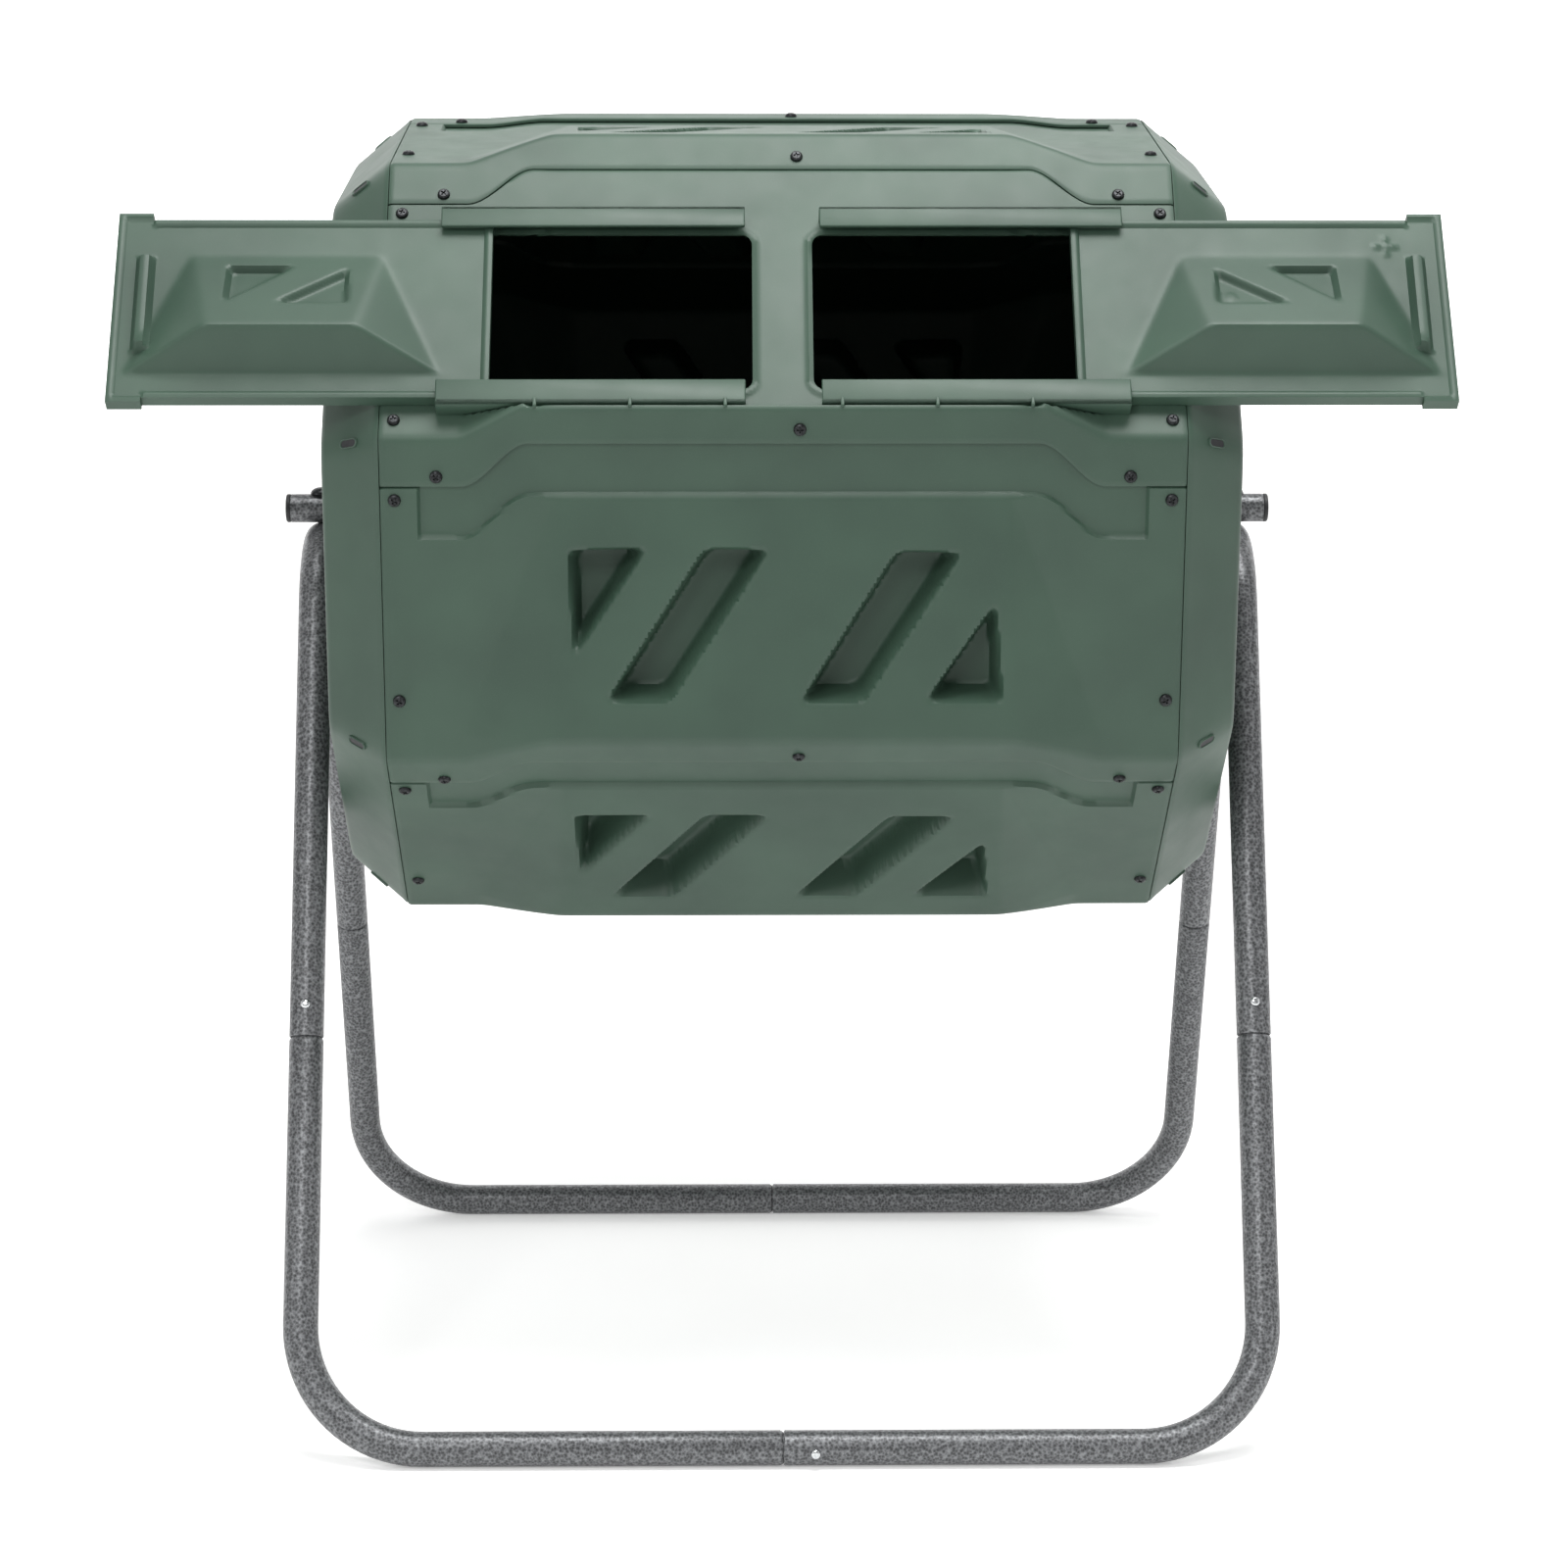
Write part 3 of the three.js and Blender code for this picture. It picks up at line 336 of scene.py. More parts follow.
def boss_height(x, s, start, end):
    """How far the raised boss stands proud at a place on the face."""
    part = (s - start) / (end - start)
    top = BOSS_TOP_HALF + BOSS_TOP_SPREAD * np.clip(part, 0, 1)
    foot = BOSS_FOOT_HALF + BOSS_FOOT_SPREAD * np.clip(part, 0, 1)
    flank = soft_clamp((foot - np.abs(x)) / (foot - top), 0.07)
    return BOSS_RISE * np.clip(part, 0, 1.2) * flank


def plain_relief(x, s):
    """Height of a plain panel over its flat: the boss, the sunk strip and the finger pockets."""
    start = LAP_MIDDLE + STRIP + 1 - EDGE
    height = boss_height(x, s, start, EDGE - BOSS_RISE)
    strip_end = s - (lap_at(x) + STRIP + 0.8 - EDGE)
    strip = np.maximum(strip_end, np.abs(x) - STRIP_HALF)
    under_lap = s - (lap_at(x) + LAP_GAP - EDGE)
    height -= STRIP_DEPTH * step(-np.minimum(strip, under_lap) / 1.8)
    for corners in POCKETS:
        inside = -outline_distance(x, -s, corners)
        height -= POCKET_DEPTH * soft_clamp(inside / 5.2, 0.14) * step((inside + 3) / 4)
    return height


# The two loading openings: near and far end, low and high edge, corner radius.
OPENING = (21.0, 235.0, -76.0, 54.0, 9.0)


def opening_distance(x, up):
    """Distance outside the nearer loading opening; negative inside."""
    left, right, low, high, corner = OPENING
    qx = np.abs(np.abs(x) - (left + right) / 2) - (right - left) / 2 + corner
    qy = np.abs(up - (low + high) / 2) - (high - low) / 2 + corner
    outside = np.hypot(np.maximum(qx, 0), np.maximum(qy, 0))
    return outside + np.minimum(np.maximum(qx, qy), 0) - corner


def door_relief(x, s):
    """Height of the door panel over its flat: the boss and a low lip round each opening."""
    height = boss_height(x, s, DOOR_BOSS_START, EDGE - BOSS_RISE)
    under_lap = s - (lap_at(x) + LAP_GAP - EDGE)
    height -= STRIP_DEPTH * step(-under_lap / 1.8)
    return height + 1.4 * step(1 - np.abs(opening_distance(x, -s) - 3.2) / 3.0)


FACE_ROWS, FLANGE_ROWS = 108, 15
BEND_ROWS = 4
BEND_PASSES = 3


def panel_grids(relief, snap_openings=False):
    """Outer and inner grids of a panel, from under its neighbour's flange down to its own."""
    xs = np.linspace(-HALF_LENGTH, HALF_LENGTH, int(2 * HALF_LENGTH / GRID) + 1)
    foot = BOSS_FOOT_HALF + BOSS_FOOT_SPREAD
    flank = foot - BOSS_TOP_HALF - BOSS_TOP_SPREAD
    rise = BOSS_RISE * soft_clamp((foot - np.abs(xs)) / flank, 0.07)
    top = lap_at(xs) - LAP_UNDER - EDGE
    bend = EDGE - rise
    u = np.linspace(0, 1, FACE_ROWS)[:, None]
    s = top + (bend - top) * u
    x = np.broadcast_to(xs, s.shape)
    n = FACE + relief(x, s)
    v = np.linspace(0, 1, FLANGE_ROWS + 1)[1:, None]
    w = -rise * math.sqrt(2) + (lap_at(xs) + rise * math.sqrt(2)) * v
    half = math.sqrt(0.5)
    path_s = np.vstack([s, EDGE + w * half])
    path_n = np.vstack([n, FACE - w * half])
    for _ in range(BEND_PASSES):
        for row in range(FACE_ROWS - 2, FACE_ROWS + 2):
            path_s[row] = (path_s[row - 1] + 2 * path_s[row] + path_s[row + 1]) / 4
            path_n[row] = (path_n[row - 1] + 2 * path_n[row] + path_n[row + 1]) / 4
    up = -path_s
    x = np.broadcast_to(xs, up.shape).copy()
    kept = None
    if snap_openings:
        middle = lambda g: (g[:-1, :-1] + g[1:, :-1] + g[:-1, 1:] + g[1:, 1:]) / 4
        on_main = np.arange(up.shape[0] - 1)[:, None] < FACE_ROWS - BEND_ROWS
        kept = ~((opening_distance(middle(x), middle(up)) < 0) & on_main)
        d = opening_distance(x, up)
        e = 0.05  # half the gap between the two samples of each slope
        gx = (opening_distance(x + e, up) - opening_distance(x - e, up)) / (2 * e)
        gy = (opening_distance(x, up + e) - opening_distance(x, up - e)) / (2 * e)
        near = (np.abs(d) < GRID * 0.9)
        near[FACE_ROWS - BEND_ROWS:] = False
        x[near] -= (d * gx)[near]
        up[near] -= (d * gy)[near]
    outer = np.dstack([x, up, path_n])
    normal = grid_normals(outer)
    if normal[10, 10, 2] < 0:
        normal = -normal
    inner = outer - normal * WALL
    for edge in ((0, slice(None)), (-1, slice(None)), (slice(None), 0), (slice(None), -1)):
        outer[edge] = outer[edge] - normal[edge] * 0.7
    return outer, inner, kept


def oriented(points, faces):
    """The same faces, turned round together if the solid's volume comes out negative."""
    p = np.asarray(points)
    quads = np.array([f if len(f) == 4 else list(f) + [f[-1]] for f in faces])
    a, b, c, d = (p[quads[:, i]] for i in range(4))
    volume = (a * np.cross(b, c)).sum() + (a * np.cross(c, d)).sum()
    return faces if volume > 0 else [list(reversed(f)) for f in faces]


def beam(low, high, round_by=1.0):
    """A box with rounded edges and corners, as a sphere's rings spread out to the box's size."""
    low, high = np.array(low, float), np.array(high, float)
    middle, half = (low + high) / 2, (high - low) / 2
    r = min(round_by, half.min() * 0.9)
    sides = 3
    points, faces = [], []
    angles = np.linspace(-math.pi / 2, math.pi / 2, 2 * sides)
    turns = [math.pi / 2 * q + math.pi / 2 * k / (sides - 1)
             for q in range(4) for k in range(sides)]
    for lat in angles:
        for lon in turns:
            unit = np.array([math.cos(lat) * math.cos(lon), math.cos(lat) * math.sin(lon),
                             math.sin(lat)])
            quarter = turns.index(lon) // sides
            sign = np.array([1 if quarter in (0, 3) else -1, 1 if quarter in (0, 1) else -1,
                             1 if lat > 0 else -1])
            points.append(middle + sign * (half - r) + unit * r)
    wide = len(turns)
    for i in range(len(angles) - 1):
        for j in range(wide):
            k = (j + 1) % wide
            faces.append([i * wide + j, i * wide + k, (i + 1) * wide + k, (i + 1) * wide + j])
    faces.append([j for j in range(wide)][::-1])
    faces.append([(len(angles) - 1) * wide + j for j in range(wide)])
    return points, faces


def joined(parts):
    """Several (points, faces) shapes as one."""
    points, faces = [], []
    for part_points, part_faces in parts:
        start = len(points)
        points.extend(np.asarray(part_points).tolist())
        faces.extend([[i + start for i in f] for f in part_faces])
    return points, faces


RAIL_X0, RAIL_X1 = 26, 238
RAIL_THIN, RAIL_TALL = 3.0, 16.0
RIB_PLACES = (40, 105, 170)
RIB_HALF = 1.3


def make_panels():
    plain_outer, plain_inner, _ = panel_grids(plain_relief)
    plain = closed_sheet(plain_outer, plain_inner)
    plain = (plain[0], oriented(*plain))
    door_outer, door_inner, kept = panel_grids(door_relief, True)
    shell = closed_sheet(door_outer, door_inner, kept)
    parts = [(shell[0], oriented(*shell))]
    for sign in (-1, 1):
        x0, x1 = sorted((sign * RAIL_X0, sign * RAIL_X1))
        rail_top = FACE + RAIL_TALL
        lip_low = rail_top - RAIL_THIN
        parts += [
            beam((x0, 63.5, FACE - 1), (x1, 67, rail_top)),
            beam((x0, 50, lip_low), (x1, 67, rail_top)),
            beam((x0, -96.3, FACE - 1), (x1, -92.8, rail_top)),
            beam((x0, -96.3, lip_low), (x1, -77, rail_top)),
        ]
        for middle in RIB_PLACES:
            at = sign * middle
            parts.append(beam((at - RIB_HALF, -99.5, FACE + 4),
                              (at + RIB_HALF, -93, FACE + 17.6), 0.6))
    door = joined(parts)
    for side, name in enumerate(PANELS):
        points, faces = door if name == "door_panel" else plain
        piece = new_piece(f"{name}_skin", on_face(points, side), faces, GREEN, 40)
        declare(piece, "drum", "green_plastic", name)


# ---- Sliding doors ----

DOOR_X0, DOOR_X1 = 202.0, 463.0
DOOR_LOW, DOOR_HIGH = -88.8, 58.6
STOP_LOW, STOP_HIGH = -92.0, 64.0
STOP_X = DOOR_X1 - 24
GRIP_X = DOOR_X0 + 0.545 * (DOOR_X1 - DOOR_X0)
GRIP_RISE = 28.0
GRIP_TOP_HALF, GRIP_TOP = 66, 29
GRIP_FOOT_HALF, GRIP_FOOT = 108, -69
GRIP_CREST_HALF, GRIP_CREST = 52, -47
DOOR_GRID = 1.9
LID_RISE = 9.5
BAR_X0, BAR_X1 = DOOR_X1 - 27, DOOR_X1 - 15
BAR_LOW, BAR_HIGH = -52, 28
GRIP_RECESSES = [[(41, 18), (-8, 18), (41, -23)], [(-44, 16), (-46, -23), (7, -23)]]


def plane_through_foot(x, y, first, second, crest):
    """Height of the flat face that rises from a foot line to the crest point."""
    edge = np.subtract(second, first)
    across = np.array([edge[1], -edge[0]])
    reach = np.dot(np.subtract(crest, first), across)
    return GRIP_RISE * ((x - first[0]) * across[0] + (y - first[1]) * across[1]) / reach


def grip_height(x, y):
    """Height of the wedge grip: the lowest of its four sloping faces, with eased edges."""
    top_near, top_far = (GRIP_X - GRIP_TOP_HALF, GRIP_TOP), (GRIP_X + GRIP_TOP_HALF, GRIP_TOP)
    foot_near, foot_far = (GRIP_X - GRIP_FOOT_HALF, GRIP_FOOT), (GRIP_X + GRIP_FOOT_HALF, GRIP_FOOT)
    crest_near = (GRIP_X - GRIP_CREST_HALF, GRIP_CREST)
    crest_far = (GRIP_X + GRIP_CREST_HALF, GRIP_CREST)
    faces = [
        plane_through_foot(x, y, top_near, top_far, crest_near),
        plane_through_foot(x, y, foot_near, foot_far, crest_near),
        plane_through_foot(x, y, top_near, foot_near, crest_near),
        plane_through_foot(x, y, top_far, foot_far, crest_far),
    ]
    rounding = 1.1
    lowest = -rounding * np.log(sum(np.exp(np.clip(-f / rounding, -60, 60)) for f in faces))
    return (lowest + np.sqrt(lowest ** 2 + 1.2)) / 2 - 0.02


def door_mesh(sign):
    """One sliding door, open: lip, grip, recesses, grab bar, and the marks of the right door."""
    def stretch(*stops):
        pieces = [np.linspace(a, b, max(2, int((b - a) / DOOR_GRID) + 1))
                  for a, b in zip(stops, stops[1:])]
        return np.unique(np.round(np.concatenate(pieces), 4))
    xs = stretch(DOOR_X0, DOOR_X0 + 4, STOP_X, DOOR_X1 - 4, DOOR_X1)
    ys = stretch(STOP_LOW, DOOR_LOW, DOOR_LOW + 4, DOOR_HIGH - 4, DOOR_HIGH, STOP_HIGH)
    x, y = np.meshgrid(xs, ys)
    low = np.where(x >= STOP_X - 0.01, STOP_LOW, DOOR_LOW)
    high = np.where(x >= STOP_X - 0.01, STOP_HIGH, DOOR_HIGH)
    edge = np.minimum(np.minimum(x - DOOR_X0, DOOR_X1 - x), np.minimum(y - low, high - y))
    height = 2.0 * step((5.2 - edge) / 1.6) + grip_height(x, y)
    for outline in GRIP_RECESSES:
        corners = [(GRIP_X + across, up) for across, up in outline]
        inside = -outline_distance(x, y, corners, 1.3)
        height -= 6.0 * soft_clamp(inside / 3.4, 0.15) * step((inside + 2) / 3)
    bar = -outline_distance(x, y, [(BAR_X0, BAR_HIGH), (BAR_X1, BAR_HIGH), (BAR_X1, BAR_LOW),
                                   (BAR_X0, BAR_LOW)], 0.8)
    height += 9.0 * soft_clamp(bar / 3.0, 0.12) * step((bar + 2) / 3)
    if sign > 0:
        dot = np.hypot(x - GRIP_X + 34, y + 12)
        height += 0.8 * step((5.0 - dot) / 1.5)
        px, py = np.abs(x - 422), np.abs(y - 37)
        plus = np.minimum(np.maximum(px - 8.5, py - 1.7), np.maximum(px - 1.7, py - 8.5))
        height += 1.3 * step(0.5 - plus / 2.2)
    top = FACE + LID_RISE + height
    outer = np.dstack([x, y, top])
    under = np.where(edge < 3.7, FACE + 0.6, top - 2.6)
    inner = np.dstack([x, y, under])
    rim = edge < 0.01
    outer[..., 2][rim] -= 0.7
    cx, cy = (x[:-1, :-1] + x[1:, 1:]) / 2, (y[:-1, :-1] + y[1:, 1:]) / 2
    kept = (cx > STOP_X) | ((cy > DOOR_LOW) & (cy < DOOR_HIGH))
    points, faces = closed_sheet(outer, inner, kept)
    points[:, 0] *= sign
    return points, oriented(points, faces)


def make_doors():
    for name, body, sign in (("door_left", "left_door", -1), ("door_right", "right_door", 1)):
        points, faces = door_mesh(sign)
        piece = new_piece(f"{name}_moulding", on_face(points, 1), faces, GREEN, 40)
        declare(piece, body, "green_plastic", name)


# ---- Turned and swept shapes ----

def ring_shape(profile, segments, radius_at=None):
    """A closed profile of (radius, along X) swung round X; radius_at shapes it away from round."""
    angles = np.linspace(0, 2 * math.pi, segments, endpoint=False)
    points = []
    for radius, along in profile:
        r = radius * (np.ones(segments) if radius_at is None else radius_at(angles, radius))
        points.append(np.column_stack([np.full(segments, along), r * np.cos(angles),
                                       r * np.sin(angles)]))
    count = len(profile)
    faces = []
    for i in range(count):
        j = (i + 1) % count
        for k in range(segments):
            m = (k + 1) % segments
            faces.append([i * segments + k, i * segments + m, j * segments + m, j * segments + k])
    points = np.vstack(points)
    return points, oriented(points, faces)


def octagon_reach(angles, radius):
    """Ratio of a softly cornered octagon's edge to its flat distance, fading to round inside."""
    cosines = np.stack([np.maximum(np.cos(angles - k * SIDE_ANGLE), 0) for k in range(8)])
    reach = 1 / (cosines ** 90).sum(0) ** (1 / 90)
    share = float(step((radius - 30) / 90))
    return 1 + (reach - 1) * share


CAP_BORE = 11.6
CAP_GAP = 0.5
CAP_DEPTH = 43


def make_caps():
    start = HALF_LENGTH + CAP_GAP
    end = HALF_LENGTH + CAP_DEPTH
    profile = [
        (CAP_BORE, end + 3.2), (12.6, end + 4), (27, end + 4), (28.6, end + 3.4), (30, end + 1),
        (32, end), (60, end), (120, end), (180, end), (222, end), (224, end - 1.6),
        (226, end - 2), (232, end - 2), (234, end - 1.6), (236, end), (240.6, end),
        (243.4, end - 0.9), (246, end - 3),
        (260, end - 20.5), (274.4, start + 4.2), (277, start + 1.5), (277.4, start), (267.5, start),
        (267.5, start - 20), (264.5, start - 20), (264.5, start + 2), (240.5, end - 3),
        (180, end - 3), (90, end - 3), (32, end - 3), (CAP_BORE, end - 3),
    ]
    points, faces = ring_shape(profile, 288, octagon_reach)
    for name, sign in (("end_cap_right", 1), ("end_cap_left", -1)):
        placed = points.copy()
        placed[:, 0] *= sign
        piece = new_piece(f"{name}_moulding", turned_drum(placed), oriented(placed, faces),
                          GREEN, 35)
        declare(piece, "drum", "green_plastic", name)
    plate = [(CAP_BORE, -1.5), (40, -1.5), (120, -1.5), (200, -1.5), (266.5, -1.5), (267.5, -0.8),
             (267.5, 0.8), (266.5, 1.5), (200, 1.5), (120, 1.5), (40, 1.5), (CAP_BORE, 1.5)]
    points, faces = ring_shape(plate, 160, octagon_reach)
    piece = new_piece("partition_wall", turned_drum(points), faces, GREEN)
    declare(piece, "drum", "green_plastic", "partition")


# ---- Sizes of the stand, in millimetres ----
TUBE, TUBE_BORE = 12.5, 11.3
RIM, RIM_BORE = 12.0, 11.5
NECK, NECK_BORE = 10.8, 9.6
NECK_TIP = 10.4
SHOULDER, SHOULDER_BORE = 11.6, 10
LEG_X, BASE_Y = 344.0, 309.9
MEET = 721.0
SEAM = 283.0
CLIMB = MEET - TUBE
LENGTH = math.hypot(BASE_Y, CLIMB)
LEAN_SIN, LEAN_COS = BASE_Y / LENGTH, CLIMB / LENGTH
AXLE_R = 10.65
APEX = AXLE_HEIGHT - AXLE_R - 0.3 - TUBE
APEX_RADIUS = (MEET - APEX) / (1 / LEAN_SIN - 1)
CORNER = 88.0


def on_leg(sign_x, sign_y, along):
    """A place on a leg's centre line, measured up the leg from the joint between its tubes."""
    z = SEAM + along * LEAN_COS
    return np.array([sign_x * LEG_X, sign_y * (MEET - z) * BASE_Y / CLIMB, z])


def swept(stations, normal, sides=40):
    """A hollow tube through (point, outer, inner) stations that lie in one flat plane."""
    normal = np.array(normal, float)
    normal /= np.linalg.norm(normal)
    centres = np.array([s[0] for s in stations])
    steps = np.diff(centres, axis=0)
    steps /= np.linalg.norm(steps, axis=1, keepdims=True)
    tangents = np.vstack([steps[:1], steps[:-1] + steps[1:], steps[-1:]])
    tangents /= np.linalg.norm(tangents, axis=1, keepdims=True)
    side = np.cross(tangents, normal)
    angles = np.linspace(0, 2 * math.pi, sides, endpoint=False)
    rings = []
    count = len(stations)
    order = [(i, 1) for i in range(count)] + [(i, 2) for i in reversed(range(count))]
    for i, which in order:
        r = stations[i][which]
        round_it = np.outer(np.cos(angles), normal) + np.outer(np.sin(angles), side[i])
        rings.append(centres[i] + r * round_it)
    faces = []
    for i in range(len(rings)):
        j = (i + 1) % len(rings)
        for k in range(sides):
            m = (k + 1) % sides
            faces.append([i * sides + k, i * sides + m, j * sides + m, j * sides + k])
    points = np.vstack(rings)
    return points, oriented(points, faces)


# The swaged neck that plugs into the next tube: distance past the joint, radius and bore.
NECK_STEPS = [(42, NECK_TIP, NECK_BORE), (41, NECK, NECK_BORE), (0.2, NECK, NECK_BORE),
              (-0.4, SHOULDER, SHOULDER_BORE), (-2.2, TUBE, TUBE_BORE)]


def make_tubes():
    for name, sign_x in (("left", -1), ("right", 1)):
        full = lambda p: (p, TUBE, TUBE_BORE)
        stations = [(on_leg(sign_x, -1, 0.6), RIM, RIM_BORE), full(on_leg(sign_x, -1, 1.3))]
        sweep = math.pi / 2 - math.asin(LEAN_SIN)
        for angle in np.linspace(-sweep, sweep, 29):
            y = math.sin(angle) * APEX_RADIUS
            z = APEX - APEX_RADIUS + math.cos(angle) * APEX_RADIUS
            stations.append(full(np.array([sign_x * LEG_X, y, z])))
        stations += [full(on_leg(sign_x, 1, 1.3)), (on_leg(sign_x, 1, 0.6), RIM, RIM_BORE)]
        points, faces = swept(stations, (1, 0, 0))
        piece = new_piece(f"upper_frame_{name}_tube", points, faces, PAINT)
        declare(piece, "frame", "tube_paint", f"upper_frame_{name}")
    for row, sign_y in (("front", -1), ("rear", 1)):
        for name, sign_x in (("left", -1), ("right", 1)):
            stations = [(on_leg(sign_x, sign_y, along), outer, bore)
                        for along, outer, bore in NECK_STEPS]
            up = np.array([0, -sign_y * LEAN_SIN, LEAN_COS])
            inward = np.array([-sign_x, 0, 0])
            centre = np.array([sign_x * LEG_X, sign_y * BASE_Y, TUBE]) + (up + inward) * CORNER
            for angle in np.linspace(0, math.pi / 2, 22):
                round_it = -inward * math.cos(angle) * CORNER - up * math.sin(angle) * CORNER
                stations.append((centre + round_it, TUBE, TUBE_BORE))
            base = lambda x: np.array([x, sign_y * BASE_Y, TUBE])
            if sign_x < 0:
                stations += [(base(along), outer, bore) for along, outer, bore in NECK_STEPS[::-1]]
            else:
                stations += [(base(1.3), TUBE, TUBE_BORE), (base(0.6), RIM, RIM_BORE)]
            points, faces = swept(stations, np.cross(inward, up))
            piece = new_piece(f"lower_tube_{row}_{name}_bend", points, faces, PAINT)
            declare(piece, "frame", "tube_paint", f"lower_tube_{row}_{name}")


def along_z(points):
    """Turns a shape made round X so that it stands round Z."""
    p = np.asarray(points)
    return np.column_stack([p[:, 1], p[:, 2], p[:, 0]])


AXLE_HALF = 367.0
AXLE_BORE = 9.15
BOLT_R = 3.0
THREAD_TURNS, THREAD_PITCH = 14, 1.0


def make_axle():
    half = AXLE_HALF
    profile = [(AXLE_BORE, -half), (10.2, -half), (AXLE_R, -half + 0.5), (AXLE_R, -200),
               (AXLE_R, 0), (AXLE_R, 200), (AXLE_R, half - 0.5), (10.2, half), (AXLE_BORE, half)]
    points, faces = ring_shape(profile, 48)
    piece = new_piece("axle_tube_steel", points + [0, 0, AXLE_HEIGHT], faces, PAINT)
    declare(piece, "frame", "tube_paint", "axle_tube")
    plug = [(0.01, half - 13), (8.2, half - 13), (8.6, half - 12), (8.6, half + 0.3),
            (AXLE_R, half + 0.3), (AXLE_R, half + 2.2), (10.0, half + 3.1), (8.8, half + 3.3),
            (8.2, half + 2.6), (0.01, half + 2.2)]
    for name, sign in (("left", -1), ("right", 1)):
        points, faces = ring_shape(plug, 48)
        points[:, 0] *= sign
        piece = new_piece(f"axle_plug_{name}_cap", points + [0, 0, AXLE_HEIGHT],
                          oriented(points, faces), BLACK_PLASTIC_AND_SHADE)
        declare(piece, "frame", "black_plastic", f"axle_plug_{name}")
        bottom = -(AXLE_HEIGHT - APEX + TUBE + 10)
        top = AXLE_R + 0.2
        bolt = [(0.01, bottom), (2.4, bottom), (BOLT_R, bottom + 1)]
        for i in range(THREAD_TURNS):
            z = bottom + 1.4 + i * THREAD_PITCH
            bolt += [(BOLT_R, z), (2.65, z + THREAD_PITCH / 2)]
        bolt += [(BOLT_R, bottom + 16), (BOLT_R, top), (8, top), (8, top + 0.8), (7.3, top + 2.3),
                 (5.6, top + 3.8), (3.0, top + 4.8), (0.01, top + 5.1)]
        points, faces = ring_shape(bolt, 28)
        piece = new_piece(f"axle_bolt_{name}_dome",
                          along_z(points) + [sign * LEG_X, 0, AXLE_HEIGHT],
                          oriented(along_z(points), faces), BLACK_STEEL)
        declare(piece, "frame", "black_steel", f"axle_bolt_{name}")
        high = APEX - TUBE - 2.2
        nut = [(3.2, high - 5.5), (6.2, high - 5.5), (7, high - 5.0), (7, high - 0.5),
               (6.2, high), (3.2, high)]

        def hexagon(angles, radius):
            wedge = np.mod(angles, math.pi / 3) - math.pi / 6
            return 1 / np.cos(wedge) * 0.866 if radius > 5 else np.ones_like(angles)
        points, faces = ring_shape(nut, 48, hexagon)
        piece = new_piece(f"axle_nut_{name}_hex", along_z(points) + [sign * LEG_X, 0, 0],
                          oriented(along_z(points), faces), BLACK_STEEL)
        declare(piece, "frame", "black_steel", f"axle_nut_{name}")


def strip_shape(path, thickness, width):
    """A flat spring strip that follows a path in its own X-Z plane."""
    path = np.array(path, float)
    tangent = np.gradient(path, axis=0)
    tangent /= np.linalg.norm(tangent, axis=1, keepdims=True)
    normal = np.column_stack([-tangent[:, 1], tangent[:, 0]])
    rings = []
    for offset, y in ((0, -1), (0, 1), (1, 1), (1, -1)):
        p = path + normal * thickness * offset
        rings.append(np.column_stack([p[:, 0], np.full(len(p), y * width / 2), p[:, 1]]))
    points = np.stack(rings, axis=1).reshape(-1, 3)
    faces = []
    for i in range(len(path) - 1):
        for k in range(4):
            m = (k + 1) % 4
            faces.append([4 * i + k, 4 * i + m, 4 * i + 4 + m, 4 * i + 4 + k])
    last = 4 * (len(path) - 1)
    faces += [[3, 2, 1, 0], [last, last + 1, last + 2, last + 3]]
    return points, oriented(points, faces)


BUTTON_AT = 23


def make_buttons():
    pin = [(0.01, 7.0), (3.4, 7.0), (3.4, 13.9), (3.3, 14.4), (2.9, 14.9), (2.2, 15.3),
           (1.2, 15.45), (0.01, 15.5)]
    points, faces = ring_shape(pin, 28)
    dome = (along_z(points), oriented(along_z(points), faces))
    bend = [(14 + 2.6 * math.sin(a), 2.9 + 3.7 * math.cos(a)) for a in np.linspace(0, math.pi, 9)]
    leaf = strip_shape([(-4.5, 6.6), (0, 6.6), (5, 6.6), (10, 6.6), *bend, (8, -1.6), (0, -2.9),
                        (-8, -4.2)], 0.7, 6)
    for row, sign_y in (("front", -1), ("rear", 1)):
        out = np.array([0, sign_y * LEAN_COS, LEAN_SIN])
        down = np.array([0, sign_y * LEAN_SIN, -LEAN_COS])
        places = [
            ("left", on_leg(-1, sign_y, BUTTON_AT), out, down),
            ("right", on_leg(1, sign_y, BUTTON_AT), out, down),
            ("base", np.array([BUTTON_AT, sign_y * BASE_Y, TUBE]), np.array([0, sign_y, 0]),
             np.array([-1, 0, 0])),
        ]
        for place, at, facing, along in places:
            basis = np.column_stack([along, np.cross(facing, along), facing])
            points, faces = joined([dome, leaf])
            name = f"snap_button_{row}_{place}"
            piece = new_piece(f"{name}_pin", np.asarray(points) @ basis.T + at, faces, BRIGHT_STEEL)
            declare(piece, name, "bright_steel", name)


# ---- Repeated small shapes, placed by geometry nodes ----

